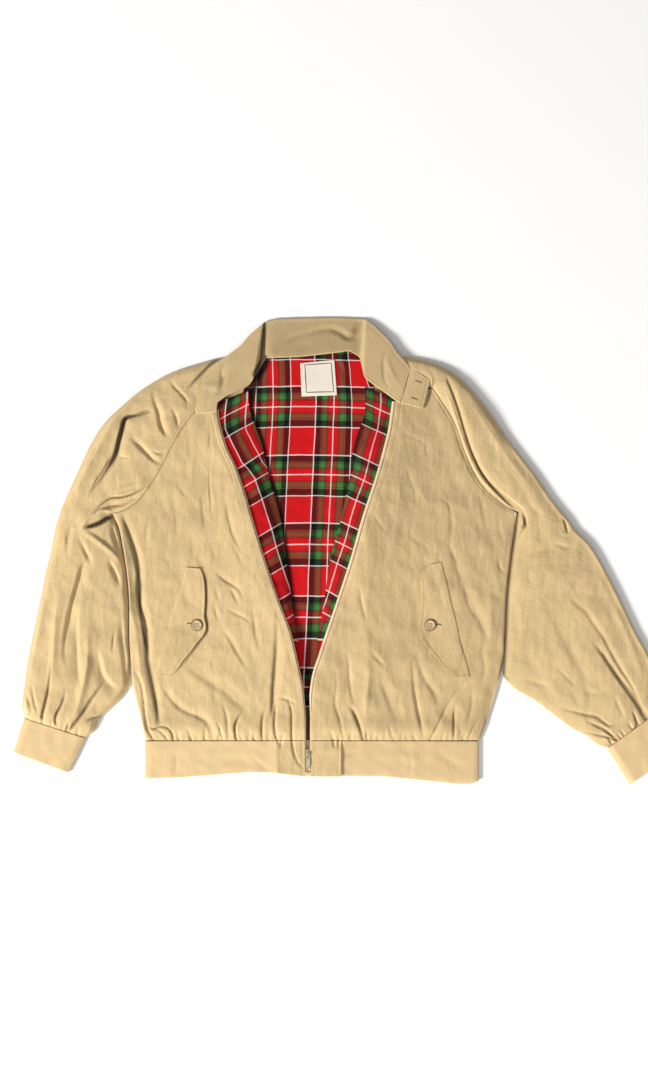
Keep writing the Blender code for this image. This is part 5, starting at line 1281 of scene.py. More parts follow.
def strip(name, node, sections, edge, uv_of, fall, lift, shade, cut):
    """Height = high + (low - high) * part^fall, from under the tape down to `lift` above its place on the lining."""
    low = LINING_TOP + LAY_GAP + LINING + lift

    def top_of(x, y, part, along):
        """High beside the zip, low at the lining, with waves between."""
        at_zip = zip_x(edge, y)
        high = shell_top(at_zip, y) - SHELL - TAPE_GAP - TAPE - 2 * LAY_GAP
        waves = 0.5 * crumple(x, y, 24.0, 12) * np.clip(4 * part * (1 - part), 0, 1)
        return np.maximum(high + (low - high) * part**fall + waves, low)

    def wear_of(x, y):
        """Painted shade: darker by the strip's shade, in patches."""
        return -shade * (0.5 + 0.5 * np.abs(crumple(x, y, 40.0, 15)))

    piece, _ = panel(name, *two_edges(sections), top_of, LINING, TARTAN, 1.6, 2.4,
                     uv_of=uv_of, edge=0.5, wear_of=wear_of)
    dress(piece, "tartan_lining", node)
    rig.sheet(piece, flat=cut, held="laid", area=cut[0] * cut[1] * 0.7, rests_on=["back_tartan"])


strip("right_tartan", "right_front_lining", RIGHT_STRIP, RIGHT_ZIP, right_strip_uv, fall=3.0, lift=1.8, shade=0.12,
      cut=(0.060, 0.385))
strip("left_tartan", "left_front_lining", LEFT_STRIP, LEFT_ZIP, left_strip_uv, fall=1.7, lift=0.0, shade=0.3,
      cut=(0.060, 0.385))

# %% [markdown]
# ## Sleeves and cuffs
#
# A sleeve that lies flat is a tube pressed to an oval: a round fold along each edge, a flat underside and a domed
# top. As far as the armpit each row is a closed ring; above it the ring opens at the raglan seam. The last few
# centimetres swell over the cuff, because the cloth is gathered into the tighter rib.

# %% flattened tubes
EDGE_ROUND = 3.0
EDGE_TOP = 4.9
RIM_TURNS = np.radians([0.0, 22.5, 45.0, 67.5])


def tube_grid(outside, inside, height, wall, edge_top, inner_top, columns, closed):
    """Rings round a flattened tube, outer and inner grid, with the height of its outer and of its inner edge.

    Each ring starts at the inner edge, runs along the flat underside to the outer edge and back over the top. The
    folds at both edges are half ellipses: d = 3 - r * cos(turn), z = middle +- half * sin(turn). In rows after
    `closed` the ring ends at the seam instead, at the underside's and the top's own heights.
    """
    width = np.linalg.norm(inside - outside, axis=1)[:, None]
    rows = len(width)
    over, under = (EDGE_ROUND + (width - 2 * EDGE_ROUND) * np.linspace(0, 1, count)[None, :] for count in (columns, 8))
    under = under[:, ::-1]
    opened = (np.arange(rows) >= closed)[:, None]
    shape = []
    seam_d = EDGE_ROUND * (1 - np.cos(RIM_TURNS))

    def plan_at(distance):
        """Place in plan at these distances from the outer edge."""
        return outside[:, None, :] + (inside - outside)[:, None, :] * (distance / width)[..., None]

    top_d = np.concatenate([over, width - seam_d[None, ::-1]], axis=1)
    top_z = height(plan_at(top_d), top_d, width - top_d)
    for inset in (0.0, wall):
        radius, half, middle = EDGE_ROUND - inset, edge_top / 2 - inset, edge_top / 2
        rim_d = np.broadcast_to(EDGE_ROUND - radius * np.cos(RIM_TURNS), (rows, 4))
        rim_z = np.broadcast_to(half * np.sin(RIM_TURNS), (rows, 4))
        inner_z = (inner_top / 2 - inset) * np.sin(RIM_TURNS)[None, :] + np.zeros((rows, 4))
        seam = np.broadcast_to(seam_d, (rows, 4))
        start_d, start_z = np.where(opened, seam, rim_d), np.where(opened, inset + 0.0 * rim_z, inner_top / 2 - inner_z)
        end_z = np.where(opened, top_z[:, columns:] - inset, inner_top / 2 + inner_z[:, ::-1])
        distance = np.concatenate([width - start_d, under, rim_d[:, ::-1], rim_d[:, 1:], over,
                                   width - start_d[:, ::-1]], axis=1)
        z = np.concatenate([start_z, inset + 0.0 * under, middle - rim_z[:, ::-1], middle + rim_z[:, 1:],
                            top_z[:, :columns] - inset, end_z], axis=1)
        shape.append(np.dstack([plan_at(distance), z]))
    return shape


def rise(distance, reach=8.0):
    """From 0 at a flattened edge to 1 some way in: 1 - (1 - (d - 3) / reach)^2."""
    return 1.0 - np.clip(1.0 - (distance - EDGE_ROUND) / reach, 0.0, 1.0) ** 2


def around(grid):
    """Distance run round each ring, as the first part of the UV."""
    steps = np.linalg.norm(np.diff(grid, axis=1), axis=2)
    return np.concatenate([np.zeros((len(grid), 1)), np.cumsum(steps, axis=1)], axis=1)


print("rim points of a fold:", 2 * len(RIM_TURNS) - 1)

# %% the sleeves
SLEEVE_PUFF = 3.6
SLEEVE_CUT = (0.300, 0.620)


def sleeve(name, node, out_low, out_high, underarm, side_high, raglan, neck, inner_reach, inner_lift, shade):
    """Height = edge + (shell - edge) * rise, + 3.6 * sin(pi * part)^0.7, + a swell and a groove over the cuff.

    The inner edge is higher than the outer one by inner_lift, beside the body.
    """
    low_length = length_of(out_low)
    low = rows_of(low_length, 54.0, 1.8, 2.3)
    neck_line = [raglan[-1], *neck]
    high = np.linspace(0.0, 1.0, round(length_of(out_high) / 2.3) + 1)[1:]
    outside = np.vstack([resample(smooth_line(out_low), low), resample(smooth_line(out_high), high)])
    inside_low = np.vstack([smooth_line(underarm), smooth_line(side_high)])
    inside_high = np.vstack([smooth_line(raglan), smooth_line(neck_line)])
    inside = np.vstack([resample(inside_low, low), resample(inside_high, high)])
    inside = pulled_in(inside, outside, SEAM_GAP)
    run = np.concatenate([low * low_length, low_length + high * length_of(out_high)])[:, None]
    closed = len(low)
    joined = np.clip((run - low_length) / 20.0, 0.0, 1.0)
    inner_top = EDGE_TOP + inner_lift * np.clip((inside[:, 1:] + 205.0) / 30.0, 0.0, 1.0)
    outer_top = EDGE_TOP + 2.6 * np.clip(run / 40.0, 0.0, 1.0) * np.clip((run[-1] - run - 20.0) / 60.0, 0.0, 1.0)

    def height(plan, from_outer, from_inner):
        """The top's height at these places, which are this far from the two edges."""
        x, y = plan[..., 0], plan[..., 1]
        inner_rise = rise(from_inner, inner_reach)
        flat = rise(from_outer) * (inner_rise + (1 - inner_rise) * joined)
        part = np.clip((from_outer - EDGE_ROUND) / (from_outer + from_inner - 2 * EDGE_ROUND), 0.0, 1.0)
        dome = SLEEVE_PUFF * np.sin(math.pi * part) ** 0.7 * np.clip(run / 30.0, 0.35, 1.0)
        swell = 1.8 * hump(run - 15.0, 13.0) - 1.6 * hump(run, 4.0)
        edge = outer_top + (inner_top - outer_top) * part
        return edge + (shell_top(x, y) - edge + swell) * flat + dome

    outer, inner = tube_grid(outside, inside, height, SHELL, outer_top, inner_top, 104, closed)
    uv = np.dstack([around(outer), run + 0.0 * outer[..., 0]])
    from_body = np.linalg.norm(outer[..., :2] - inside[:, None, :], axis=2)
    # painted shadow: dark along the inner edge beside the body, where the front shades the sleeve
    beside = np.clip((inside[:, 1:] + 200.0) / 15.0, 0.0, 1.0) * (1.0 - joined)
    dark = np.maximum(in_crease(outer[..., 0], outer[..., 1]), shade * beside * hump(from_body, 3.4))
    wear = wear_at(run + 4.0 + 0.0 * dark) * 0.5 * (1 - dark) - dark
    piece = cloth_wall(name, outer, inner, uv, SHELL_CLOTH, wear, closed)
    dress(piece, "cotton_shell", node)
    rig.sheet(piece, flat=SLEEVE_CUT, held="laid", area=SLEEVE_CUT[0] * SLEEVE_CUT[1] * 0.82)


sleeve("right_sleeve_cloth", "right_sleeve", RIGHT_SLEEVE_OUT_LOW, RIGHT_SLEEVE_OUT_HIGH, RIGHT_UNDERARM,
       RIGHT_SIDE_HIGH, RIGHT_RAGLAN, RIGHT_SLEEVE_NECK, inner_reach=6.0, inner_lift=3.4, shade=0.2)
sleeve("left_sleeve_cloth", "left_sleeve", LEFT_SLEEVE_OUT_LOW, LEFT_SLEEVE_OUT_HIGH, LEFT_UNDERARM,
       LEFT_SIDE_HIGH, LEFT_RAGLAN, LEFT_SLEEVE_NECK, inner_reach=24.0, inner_lift=0.0, shade=0.95)

# %% the cuffs
RIB_TOP, RIB_EDGE_TOP = 6.4, 5.5


def cuff(name, node, outside_points, inside_points):
    """A doubled rib tube: height = 5.5 + (0.9 + 1.2 + waves) * rise, its open end rounded over."""
    length = length_of(outside_points)
    along = stations(length, 2.4)
    outside = resample(smooth_line(outside_points), along / length)
    inside = resample(smooth_line(inside_points), along / length)
    bevel = round_off(np.minimum(along, length - along), 1.2)[:, None]

    def height(plan, from_outer, from_inner):
        """The top's height, from both distances."""
        flat = rise(from_outer) * rise(from_inner)
        waves = 0.5 * crumple(plan[..., 0], plan[..., 1], 26.0, 21)
        return RIB_EDGE_TOP + (RIB_TOP - RIB_EDGE_TOP + 1.2 + waves) * flat

    outer, inner = tube_grid(outside, inside, height, RIB, RIB_EDGE_TOP, RIB_EDGE_TOP, 44, len(along))
    outer[..., 2] += bevel * np.sign(RIB_EDGE_TOP / 2 - outer[..., 2]) * 0.9
    outer[..., 2] = np.maximum(outer[..., 2], 0.0)
    along = along[:, None] + 0.0 * outer[..., 0]
    uv = np.dstack([around(outer), length - along])
    piece = cloth_wall(name, outer, inner, uv, RIB_CLOTH, wear_at(along) * 0.6 - 0.03, len(along))
    dress(piece, "rib_knit", node)
    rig.sheet(piece, flat=(0.190, 0.060), held="laid")


cuff("right_cuff_rib", "right_cuff", RIGHT_CUFF_OUT, RIGHT_CUFF_IN)
cuff("left_cuff_rib", "left_cuff", LEFT_CUFF_OUT, LEFT_CUFF_IN)

# %% [markdown]
# ## Waistband and hem tabs
#
# The waistband is a doubled rib loop round the back, open in front where two squares of shell cloth take the
# stress of the zip. It is one grid that runs along the front layer, round the side fold, back along the underside
# and round to the other front layer.

# %% the waistband
WAIST = np.array(WAISTBAND, float)
BAND_HEIGHT = 54.0
RIB_FOLDS = drawn([
    (12, 12, 0.2, (-210, -326), (-170, -312, -0.9), (-120, -330)),
    (14, 14, 0.2, (-300, -320), (-280, -300, 0.8), (-240, -292)),
    (14, 14, 0.2, (20, -326), (70, -306, 0.9), (120, -322)),
    (12, 12, 0.2, (130, -300), (160, -318, -0.8), (190, -330)),
    (6, 6, 0.2, (-262, -342), (-256, -322, -0.8), (-258, -302)),
    (6, 6, 0.2, (92, -342), (96, -318, -0.7), (90, -298)), (7, 5, 0.2, (-8, -308), (6, -304, -0.8), (24, -300)),
    (8, 6, 0.2, (-150, -302), (-132, -318, -0.8), (-112, -332)),
])


def waistband():
    """Height of the front layer = 5.5 + (0.9 + folds) * rise; the underside lies on the table."""
    left_x, right_x = WAIST[0, 0], WAIST[-1, 0]
    low_x, high_x = left_x + EDGE_ROUND, right_x - EDGE_ROUND
    over_right = np.linspace(low_x, WAIST_ENDS[0], 90)[::-1]
    over_left = np.linspace(high_x, WAIST_ENDS[1], 90)
    beneath = np.linspace(low_x, high_x, 60)
    part = stations(BAND_HEIGHT, 2.4)[:, None] / BAND_HEIGHT
    turns = RIM_TURNS[1:]
    grids = []
    for inset in (0.0, RIB):
        radius, half, middle = EDGE_ROUND - inset, RIB_EDGE_TOP / 2 - inset, RIB_EDGE_TOP / 2
        bend = EDGE_ROUND - radius * np.cos(np.concatenate([turns[::-1], [0.0], turns]))
        lift = half * np.sin(np.concatenate([turns[::-1], [0.0], -turns]))
        x = np.concatenate([over_right, left_x + bend, beneath, right_x - bend[::-1], over_left])[None, :] + 0.0 * part
        y = np.interp(x, WAIST[:, 0], WAIST[:, 1]) * (1 - part) + np.interp(x, WAIST[:, 0], WAIST[:, 2]) * part
        flat = rise(np.minimum(x - left_x, right_x - x))
        waves = folds(x, y, RIB_FOLDS) + 0.35 * crumple(x, y, 26.0, 31)
        top = RIB_EDGE_TOP + (RIB_TOP - RIB_EDGE_TOP + waves) * flat - inset
        counts = [len(over_right), len(bend), len(beneath), len(bend)]
        right_top, _, underside, _, left_top = np.split(top, np.cumsum(counts), axis=1)
        z = np.concatenate([right_top, middle + lift + 0.0 * part, inset + 0.0 * underside,
                            middle + lift[::-1] + 0.0 * part, left_top], axis=1)
        grids.append(np.dstack([x, y, z]))
    outer, inner = grids
    ends = np.minimum(part, 1 - part) * BAND_HEIGHT + 0.0 * outer[..., 0]
    bevel = round_off(ends, 1.2)
    outer[..., 2] += bevel * 0.9 * np.where(outer[..., 2] > RIB_EDGE_TOP / 2, -1.0, 1.0)
    up = part * BAND_HEIGHT + 0.0 * bevel
    uv = np.dstack([around(outer), up])
    # painted shade: the band gets darker towards the left front, where the light falls off
    dull = np.interp(outer[..., 0], (-60.0, 0.0), (0.015, 0.085))
    piece = cloth_wall("waistband_rib", outer, inner, uv, RIB_CLOTH, wear_at(up) * 0.6 - dull)
    dress(piece, "rib_knit", "waistband")
    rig.sheet(piece, flat=(0.905, 0.065), held="laid")


waistband()

# %% the hem tabs
TAB_LOWEST = 4.9


def hem_tab(name, node, left_x, right_x):
    """Shell cloth at the foot of a front: height = the shell's there, at least 4.9, with a sewn groove at its sides."""
    low = [(x, float(np.interp(x, WAIST[:, 0], WAIST[:, 1]))) for x in (left_x, right_x)]
    first = np.array([low[0], (left_x, HEM_SEAM - 0.8)])
    second = np.array([low[1], (right_x, HEM_SEAM - 0.8)])

    def top_of(x, y, part, along):
        """The shell's height, less a groove 4.5 mm in from each side."""
        top = np.maximum(shell_top(x, y), TAB_LOWEST)
        for inset in (x - left_x, right_x - x):
            top = top - 0.25 * hump(inset - 4.5, 1.1)
        return top

    piece, grid = panel(name, first, second, top_of, SHELL, SHELL_CLOTH, 1.4, 1.6, edge=0.4)
    dress(piece, "cotton_shell", node)
    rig.sheet(piece, flat=(0.042, 0.060), held="laid", rests_on=["waistband_rib"])
    return grid


RIGHT_TAB = hem_tab("right_hem_cloth", "right_hem_tab", -105.3, -63.0)
LEFT_TAB = hem_tab("left_hem_cloth", "left_hem_tab", -54.0, -8.7)

# %% [markdown]
# ## Collar
#
# The stand collar is a stiffened double band. It lies spread open with its inside up: at the back of the neck it
# lies flat, and at both sides it folds over itself, so its upper side climbs steeply there. The table goes round
# the neck, with the collar's seam and its free edge at each station; the rows between are smoothed a little.

# %% the collar
# x, y, height on the seam; x, y, height on the free edge
COLLAR_SECTIONS = np.array([
    (-195, 208, 12.8, -226, 205, 10.6), (-194, 222, 13.4, -232, 220, 10.2), (-182, 231, 14.0, -233, 243, 9.8),
    (-164, 240, 13.6, -216, 262, 9.8), (-147, 248, 12.8, -198, 280, 9.6), (-145, 250, 12.6, -182, 291, 9.2),
    (-143, 253, 12.6, -160, 308, 8.0), (-141, 256, 12.6, -147, 324, 6.8), (-139.5, 261, 12.4, -126, 342, 5.8),
    (-134, 267, 6.4, -122.5, 344.6, 3.4), (-121, 289, 7.6, -117, 346, 2.8), (-110, 289.5, 8.2, -105, 349, 2.6),
    (-70, 291, 8.4, -70, 350, 2.6), (-26, 296, 8.4, -26, 351, 2.6), (4, 300, 8.0, 8, 350, 2.6),
    (19, 291, 6.6, 24, 349, 3.0), (25, 263, 13.5, 29, 347, 5.2), (27, 259, 14.0, 40, 340, 6.0),
    (30, 256, 13.8, 50, 330, 7.2), (38, 250, 13.4, 64, 316, 8.4), (50, 242, 13.0, 75, 298, 9.4),
    (62, 233, 12.6, 86, 286, 10.2), (74, 224, 12.4, 93, 277, 10.6), (80, 221.5, 12.2, 95.2, 274.3, 10.6),
])
COLLAR_FOLDS = drawn([
    (9, 9, 0.3, (-114, 298), (-100, 310, -1.2), (-86, 319, -1.2), (-64, 325, -1.2), (-40, 332, -1.4),
     (-22, 333, -1.6), (-8, 327, -2), (2, 321, -2.6), (10, 323, -2.8), (16, 334, -2.4), (22, 346)),
    (6, 5, 0.3, (59, 305), (55, 286, -0.7), (55, 268, -0.9), (57, 255, -0.7), (63, 243)),
    (9, 9, 0.1, (-222, 250), (-196, 246, 1.1), (-170, 262)),
    (7, 6, 0.3, (-183, 284), (-185, 266, -1.6), (-187, 248, -1.8), (-193, 232)),
    (6, 6, 0.2, (-212, 214), (-206, 232, -0.8), (-192, 240)),
    (5, 4, 0.4, (-236, 244), (-231, 236, -1.2), (-234, 222)), (6, 6, 0.1, (58, 292), (66, 270, 0.7), (76, 248)),
])
# painted shade on the collar: the crevice where it folds over on the wearer's right, and soft bands on its back and
# left part
COLLAR_CREVICE = drawn([
    (5, 5, 0.0, (-124, 345, -4), (-124.5, 326, -8), (-125.5, 310, -11), (-126.5, 296, -12), (-128, 284, -12)),
    (7, 7, 0.0, (-138, 264, -6), (-131, 276, -12), (-124, 289, -12)),
    (9, 6, 0.0, (21, 348, -1.6), (17, 336, -2.2), (12, 325, -1.8), (4, 320)),
    (9, 9, 0.0, (-182, 288), (-186, 264, -0.9), (-188, 246, -0.9), (-195, 230)),
    (5, 5, 0.0, (-206, 262), (-210, 244, -0.5), (-206, 226)),
    (6, 5, 0.0, (-72, 333), (-48, 331, -0.8), (-24, 331, -1), (-10, 325, -1), (2, 320)),
])


def collar_rows(step):
    """Stations at equal steps of the free edge and seam together, straight between the table's rows."""
    steps = np.diff(COLLAR_SECTIONS, axis=0)
    travel = np.maximum(np.linalg.norm(steps[:, :2], axis=1), np.linalg.norm(steps[:, 3:5], axis=1))
    run = np.concatenate([[0.0], np.cumsum(travel)])
    at = stations(run[-1], step)
    rows = np.column_stack([np.interp(at, run, column) for column in COLLAR_SECTIONS.T])
    for _ in range(2):
        rows[1:-1] = 0.25 * rows[:-2] + 0.5 * rows[1:-1] + 0.25 * rows[2:]
    return rows, at, run[-1]


def collar():
    """Between seam and free edge: height = straight line + crown * sin(pi * part) + folds, edges rounded."""
    rows, at, total = collar_rows(2.0)
    seam, free = rows[:, :2], rows[:, 3:5]
    plan, near, far = across_rows(seam, free, (*EDGE_STEPS, 6.0), 26)
    part = near / (near + far)
    x, y = plan[..., 0], plan[..., 1]
    top = rows[:, 2:3] * (1 - part) + rows[:, 5:6] * part
    top += 1.3 * folds(x, y, COLLAR_FOLDS) + 0.9 * np.sin(math.pi * part) + 0.25 * crumple(x, y, 30.0, 41)
    ends = np.minimum(at, total - at)[:, None] + 0.0 * x
    stitched = 0.3 * hump(far - 6.0, 1.3) + 0.3 * hump(near - 3.5, 1.3)
    bevel = np.maximum.reduce([round_off(near, 1.1), round_off(far, 1.1), round_off(ends, 1.1)])
    upper, lower = top - bevel - stitched, np.maximum(top - COLLAR, 0.0)
    outer, inner = np.dstack([x, y, upper]), np.dstack([x, y, np.minimum(lower + bevel, upper - 0.15)])
    uv = np.dstack([at[:, None] + 0.0 * x, near])
    # painted shade: the back of the collar darker, most at its seam, and its crevices darker still
    back = np.clip((72.0 - np.abs(x + 48.0)) / 12.0, 0.0, 1.0)
    dark = np.maximum(np.clip(-folds(x, y, COLLAR_CREVICE) / 5.0, 0.0, 1.0), back * (0.28 - 0.18 * part))
    wear = wear_at(near * 1.5, far * 0.7, ends) * (1 - dark) - dark
    piece = cloth_wall("collar_cloth", outer, inner, uv, COLLAR_CLOTH, wear)
    dress(piece, "cotton_shell", "collar")
    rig.sheet(piece, flat=(0.560, 0.060), held="laid", area=0.0245,
             rests_on=["back_tartan", "right_sleeve_cloth", "left_sleeve_cloth"])
    return outer


COLLAR_GRID = collar()

# %% the throat tab
TAB_SECTIONS = np.array([(80.35, 221.4, 12.2, 114, 213, 11.6), (85.4, 239, 11.67, 119, 232, 11.4),
                         (90.4, 256.3, 11.14, 122, 246, 11.0), (95.55, 274.2, 10.6, 124.5, 256.5, 10.8)])


def throat_tab():
    """A small doubled strap: straight between its two ends, with a soft crown and a sewn groove round it."""
    def top_of(x, y, part, along):
        """Straight line + 0.5 * sin(pi * part), less a groove 4 mm in from the edges."""
        start = np.interp(y, TAB_SECTIONS[:, 1], TAB_SECTIONS[:, 2])
        end = np.interp(y, TAB_SECTIONS[:, 4], TAB_SECTIONS[:, 5])
        edge = np.minimum(np.minimum(part, 1 - part) * 34.0, np.minimum(along, 1 - along) * 54.0)
        return start * (1 - part) + end * part + 0.5 * np.sin(math.pi * part) - 0.3 * hump(edge - 4, 1.2)

    piece, grid = panel("throat_tab_cloth", TAB_SECTIONS[:, :2], TAB_SECTIONS[:, 3:5], top_of, COLLAR, COLLAR_CLOTH,
                        1.5, 1.5, edge=1.1)
    dress(piece, "cotton_shell", "collar_tab")
    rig.sheet(piece, flat=(0.036, 0.054), held="laid", rests_on=["left_front_cloth"])
    return grid


TAB_GRID = throat_tab()

# %% [markdown]
# ## Pocket flaps
#
# A flap is two layers of cotton, so it is stiffer than the front below and bridges its small dips. Its height is
# therefore the highest place of the front within a few millimetres, plus a little air that grows to the free edge.

# %% the pocket flaps
RIGHT_FLAP = np.array([(-242, -24, -220, -26), (-244, -38, -216, -36), (-250, -58, -213, -58), (-258, -78, -213, -78),
                       (-264, -96, -214, -96), (-270, -121, -212, -119), (-275, -140, -225, -138),
                       (-280, -153, -236, -153), (-284, -165, -246, -165), (-286, -176, -254, -177),
                       (-288, -187, -266, -188)], float)
LEFT_FLAP = np.array([(141, -16, 124, -21), (144, -28, 112, -30), (150, -50, 111, -52), (154, -70, 111, -74),
                      (161, -96, 109, -96), (166, -118, 107, -118), (168, -130, 111, -130), (172, -146, 122, -146),
                      (177, -160, 134, -160), (181, -174, 144, -172), (184, -189, 165, -190)], float)
FLAP, FLAP_GAP = 1.2, 0.3
FLAP_GRIDS = {}


def flap(side, table, button_node):
    """Height = highest shell within 3 mm + gap + wall + part^2, brought to the button's own foot near it."""
    low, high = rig.box(button_node)
    button = np.array([(low[0] + high[0]) / 2, (low[1] + high[1]) / 2]) / MM
    foot = low[2] / MM - LAY_GAP

    def resting(x, y):
        """Top of a flap that lies on the highest shell within 3 mm."""
        around_it = [shell_top(x + dx, y + dy) for dx, dy in ((0, 0), (3, 0), (-3, 0), (0, 3), (0, -3))]
        return np.max(around_it, axis=0) + FLAP_GAP + FLAP

    error = foot - float(resting(button[:1], button[1:])[0]) - 0.35

    def top_of(x, y, part, along):
        """The whole formula, less a groove 5 mm in from the free edges."""
        near = np.exp(-(((x - button[0]) ** 2 + (y - button[1]) ** 2) / 26.0**2))
        edge = np.minimum((1 - part) * 45.0, np.minimum(along, 1 - along) * 165.0)
        groove = 0.3 * hump(edge - 5.0, 1.3)
        return resting(x, y) + part**2 + error * near - groove

    def wear_of(x, y):
        """Painted shadow: dark in a ring round the button, a little off its middle."""
        ring = np.hypot(x - button[0] - 0.5, y - button[1] - 0.3)
        return -0.85 * hump(ring - 8.2, 1.3)

    piece, grid = panel(f"{side}_flap_cloth", *two_edges(table), top_of, FLAP,
                        SHELL_CLOTH, 1.7, 1.9, edge=0.45, wear_of=wear_of, thin=0.85)
    dress(piece, "cotton_shell", f"{side}_pocket_flap")
    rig.sheet(piece, flat=(0.065, 0.170), held="laid", area=0.0082, rests_on=[f"{side}_front_cloth"])
    FLAP_GRIDS[side] = grid


flap("right", RIGHT_FLAP, "right_flap_button")
flap("left", LEFT_FLAP, "left_flap_button")

# %% [markdown]
# ## Zip
#
# The zip is open almost to the hem. Each side is a woven tape sewn under the front's edge, with a nylon coil along
# its inner edge. The coil is a row of small rounded teeth, the same little block again and again, so each has
# only eight faces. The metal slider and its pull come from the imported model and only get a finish.

# %% zip tapes and their teeth
TAPE_SHOWS = np.array([(-329, 3.7, 3.7), (-306, 3.7, 3.7), (-294, 1.5, 1.5), (-250, 1.3, 1.4), (-215, 1.9, 4.2),
                       (-150, 2.4, 5.4), (224, 2.4, 5.6)])


def studs(name, centres, forward, sideways, size, finish):
    """Octahedra: centre +- forward * length / 2, +- sideways * width / 2, +- up * height / 2, for all at once."""
    length, width, height = size
    up = np.cross(forward, sideways)
    corners = np.stack([centres + forward * length / 2, centres + sideways * width / 2, centres - forward * length / 2,
                        centres - sideways * width / 2, centres + up * height / 2, centres - up * height / 2], axis=1)
    faces = np.array([(0, 1, 4), (1, 2, 4), (2, 3, 4), (3, 0, 4), (1, 0, 5), (2, 1, 5), (3, 2, 5), (0, 3, 5)])
    faces = (faces[None] + 6 * np.arange(len(centres))[:, None, None]).reshape(-1, 3)
    mesh = bpy.data.meshes.new(name)
    mesh.from_pydata((corners.reshape(-1, 3) * MM).tolist(), [], faces.tolist())
    layer = mesh.uv_layers.new(name="cloth")
    flat = corners.reshape(-1, 3)[faces.ravel()][:, :2]
    layer.data.foreach_set("uv", flat.astype(np.float32).ravel())
    mesh.materials.append(finish)
    return placed(name, mesh)


def along_line(line, pitch):
    """Points every pitch along a line in space, and the unit vectors forward and sideways there."""
    run = run_along(line)
    at = np.arange(0.0, run[-1], pitch)
    points, ahead, behind = (np.column_stack([np.interp(at + step, run, column) for column in line.T])
                             for step in (0.0, 0.6, -0.6))
    forward = ahead - behind
    forward /= np.linalg.norm(forward, axis=1)[:, None] + 1e-9
    sideways = np.column_stack([-forward[:, 1], forward[:, 0], 0.0 * forward[:, 0]])
    sideways /= np.linalg.norm(sideways, axis=1)[:, None] + 1e-9
    return points, forward, sideways


def zip_side(side, low, high, inward, column, swell):
    """Tape from 4 mm under the front's edge; height = the edge - cloth - gap, + swell * sin(pi * part shown)^0.8."""
    edge = np.vstack([smooth_line([(low[0][0], -329.0), *low], 300), smooth_line(high, 140)[1:]])
    shows = np.interp(edge[:, 1], TAPE_SHOWS[:, 0], TAPE_SHOWS[:, column])
    first = edge - [[inward * 4.0, 0.0]]
    second = edge + np.column_stack([inward * shows, 0.0 * shows])
    top = shell_top(edge[:, 0], edge[:, 1]) - SHELL - TAPE_GAP
    length = length_of(edge)
    at = np.linspace(0, 1, round(length / 2.4))
    rows = resample(np.column_stack([edge, first, second, top]), at)
    spots = np.array([0.0, 0.1, 0.3, 0.38, 0.44, 0.5, 0.56, 0.64, 0.73, 0.82, 0.92, 0.97, 1.0])[None, :, None]
    plan = rows[:, None, 2:4] * (1 - spots) + rows[:, None, 4:6] * spots
    seam = (4.0 / (4.0 + np.interp(rows[:, 1], TAPE_SHOWS[:, 0], TAPE_SHOWS[:, column])))[:, None]
    shown = np.clip((spots[..., 0] - seam) / (1 - seam), 0.0, 1.0)
    height = rows[:, 6:7] + swell * np.sin(math.pi * shown) ** 0.8 - 0.25 * (spots[..., 0] > 0.97)
    outer = np.dstack([plan, height])
    inner = np.dstack([plan, height - TAPE + 0.3 * (spots[..., 0] > 0.97)])
    uv = np.dstack([spots[..., 0] * 8.0 + 0.0 * height, length * at[:, None] + 0.0 * height])
    # painted shade: dark in the groove where the tape meets the front's edge; paler towards its inner edge
    wear = 0.35 * shown - hump(shown, 0.12)
    piece = cloth_wall(f"{side}_zip_tape_cloth", outer, inner, uv, TAPE_CLOTH, wear)
    dress(piece, "zip_tape", f"{side}_zip_tape")
    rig.sheet(piece, flat=(0.010, 0.590), held="laid", area=0.0050, rests_on=[f"{side}_front_cloth"])
    coil = np.column_stack([rows[:, 4:6] - [[inward * 1.1, 0.0]], rows[:, 6] + 0.25])
    points, forward, sideways = along_line(coil, 1.5)
    teeth = studs(f"{side}_zip_coil", points, forward, sideways, (1.35, 2.2, 1.3), TAPE_CLOTH)
    dress(teeth, "zip_tape")
    return len(points)


print("teeth:", zip_side("right", RIGHT_ZIP_LOW, RIGHT_ZIP_HIGH, 1.0, 1, 0.6),
      zip_side("left", LEFT_ZIP_LOW, LEFT_ZIP_HIGH, -1.0, 2, 1.5))

# %% [markdown]
# ## Label, topstitching and buttonholes
#
# The label in the neck is a plain cream square with a thin dark border. Topstitching is what makes cotton look
# sewn: each stitch is a short thread lying in a shallow groove. Stitch lines are read from the pieces' own grids,
# at a fixed distance from an edge, so they lie on the cloth wherever it folds.

# %% the label
NECK_LABEL = np.array([(-68, 232, -15, 234), (-70, 282, -19, 287)], float)
LABEL = 0.8


def label_top(x, y, part, along):
    """The lining's height + a gap + the label's thickness, with one small wave each way."""
    return LINING_TOP + LAY_GAP + LABEL + 0.25 + 0.2 * np.sin(x / 9.0) * np.sin(y / 11.0)


LABEL_PIECE, _ = panel("neck_label_cloth", NECK_LABEL[:, :2], NECK_LABEL[:, 2:], label_top, 0.7, LABEL_CLOTH, 2.4, 2.4,
                       edge=0.3)
dress(LABEL_PIECE, "label_cloth", "neck_label")
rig.sheet(LABEL_PIECE, flat=(0.053, 0.052), held="laid", rests_on=["back_tartan"])


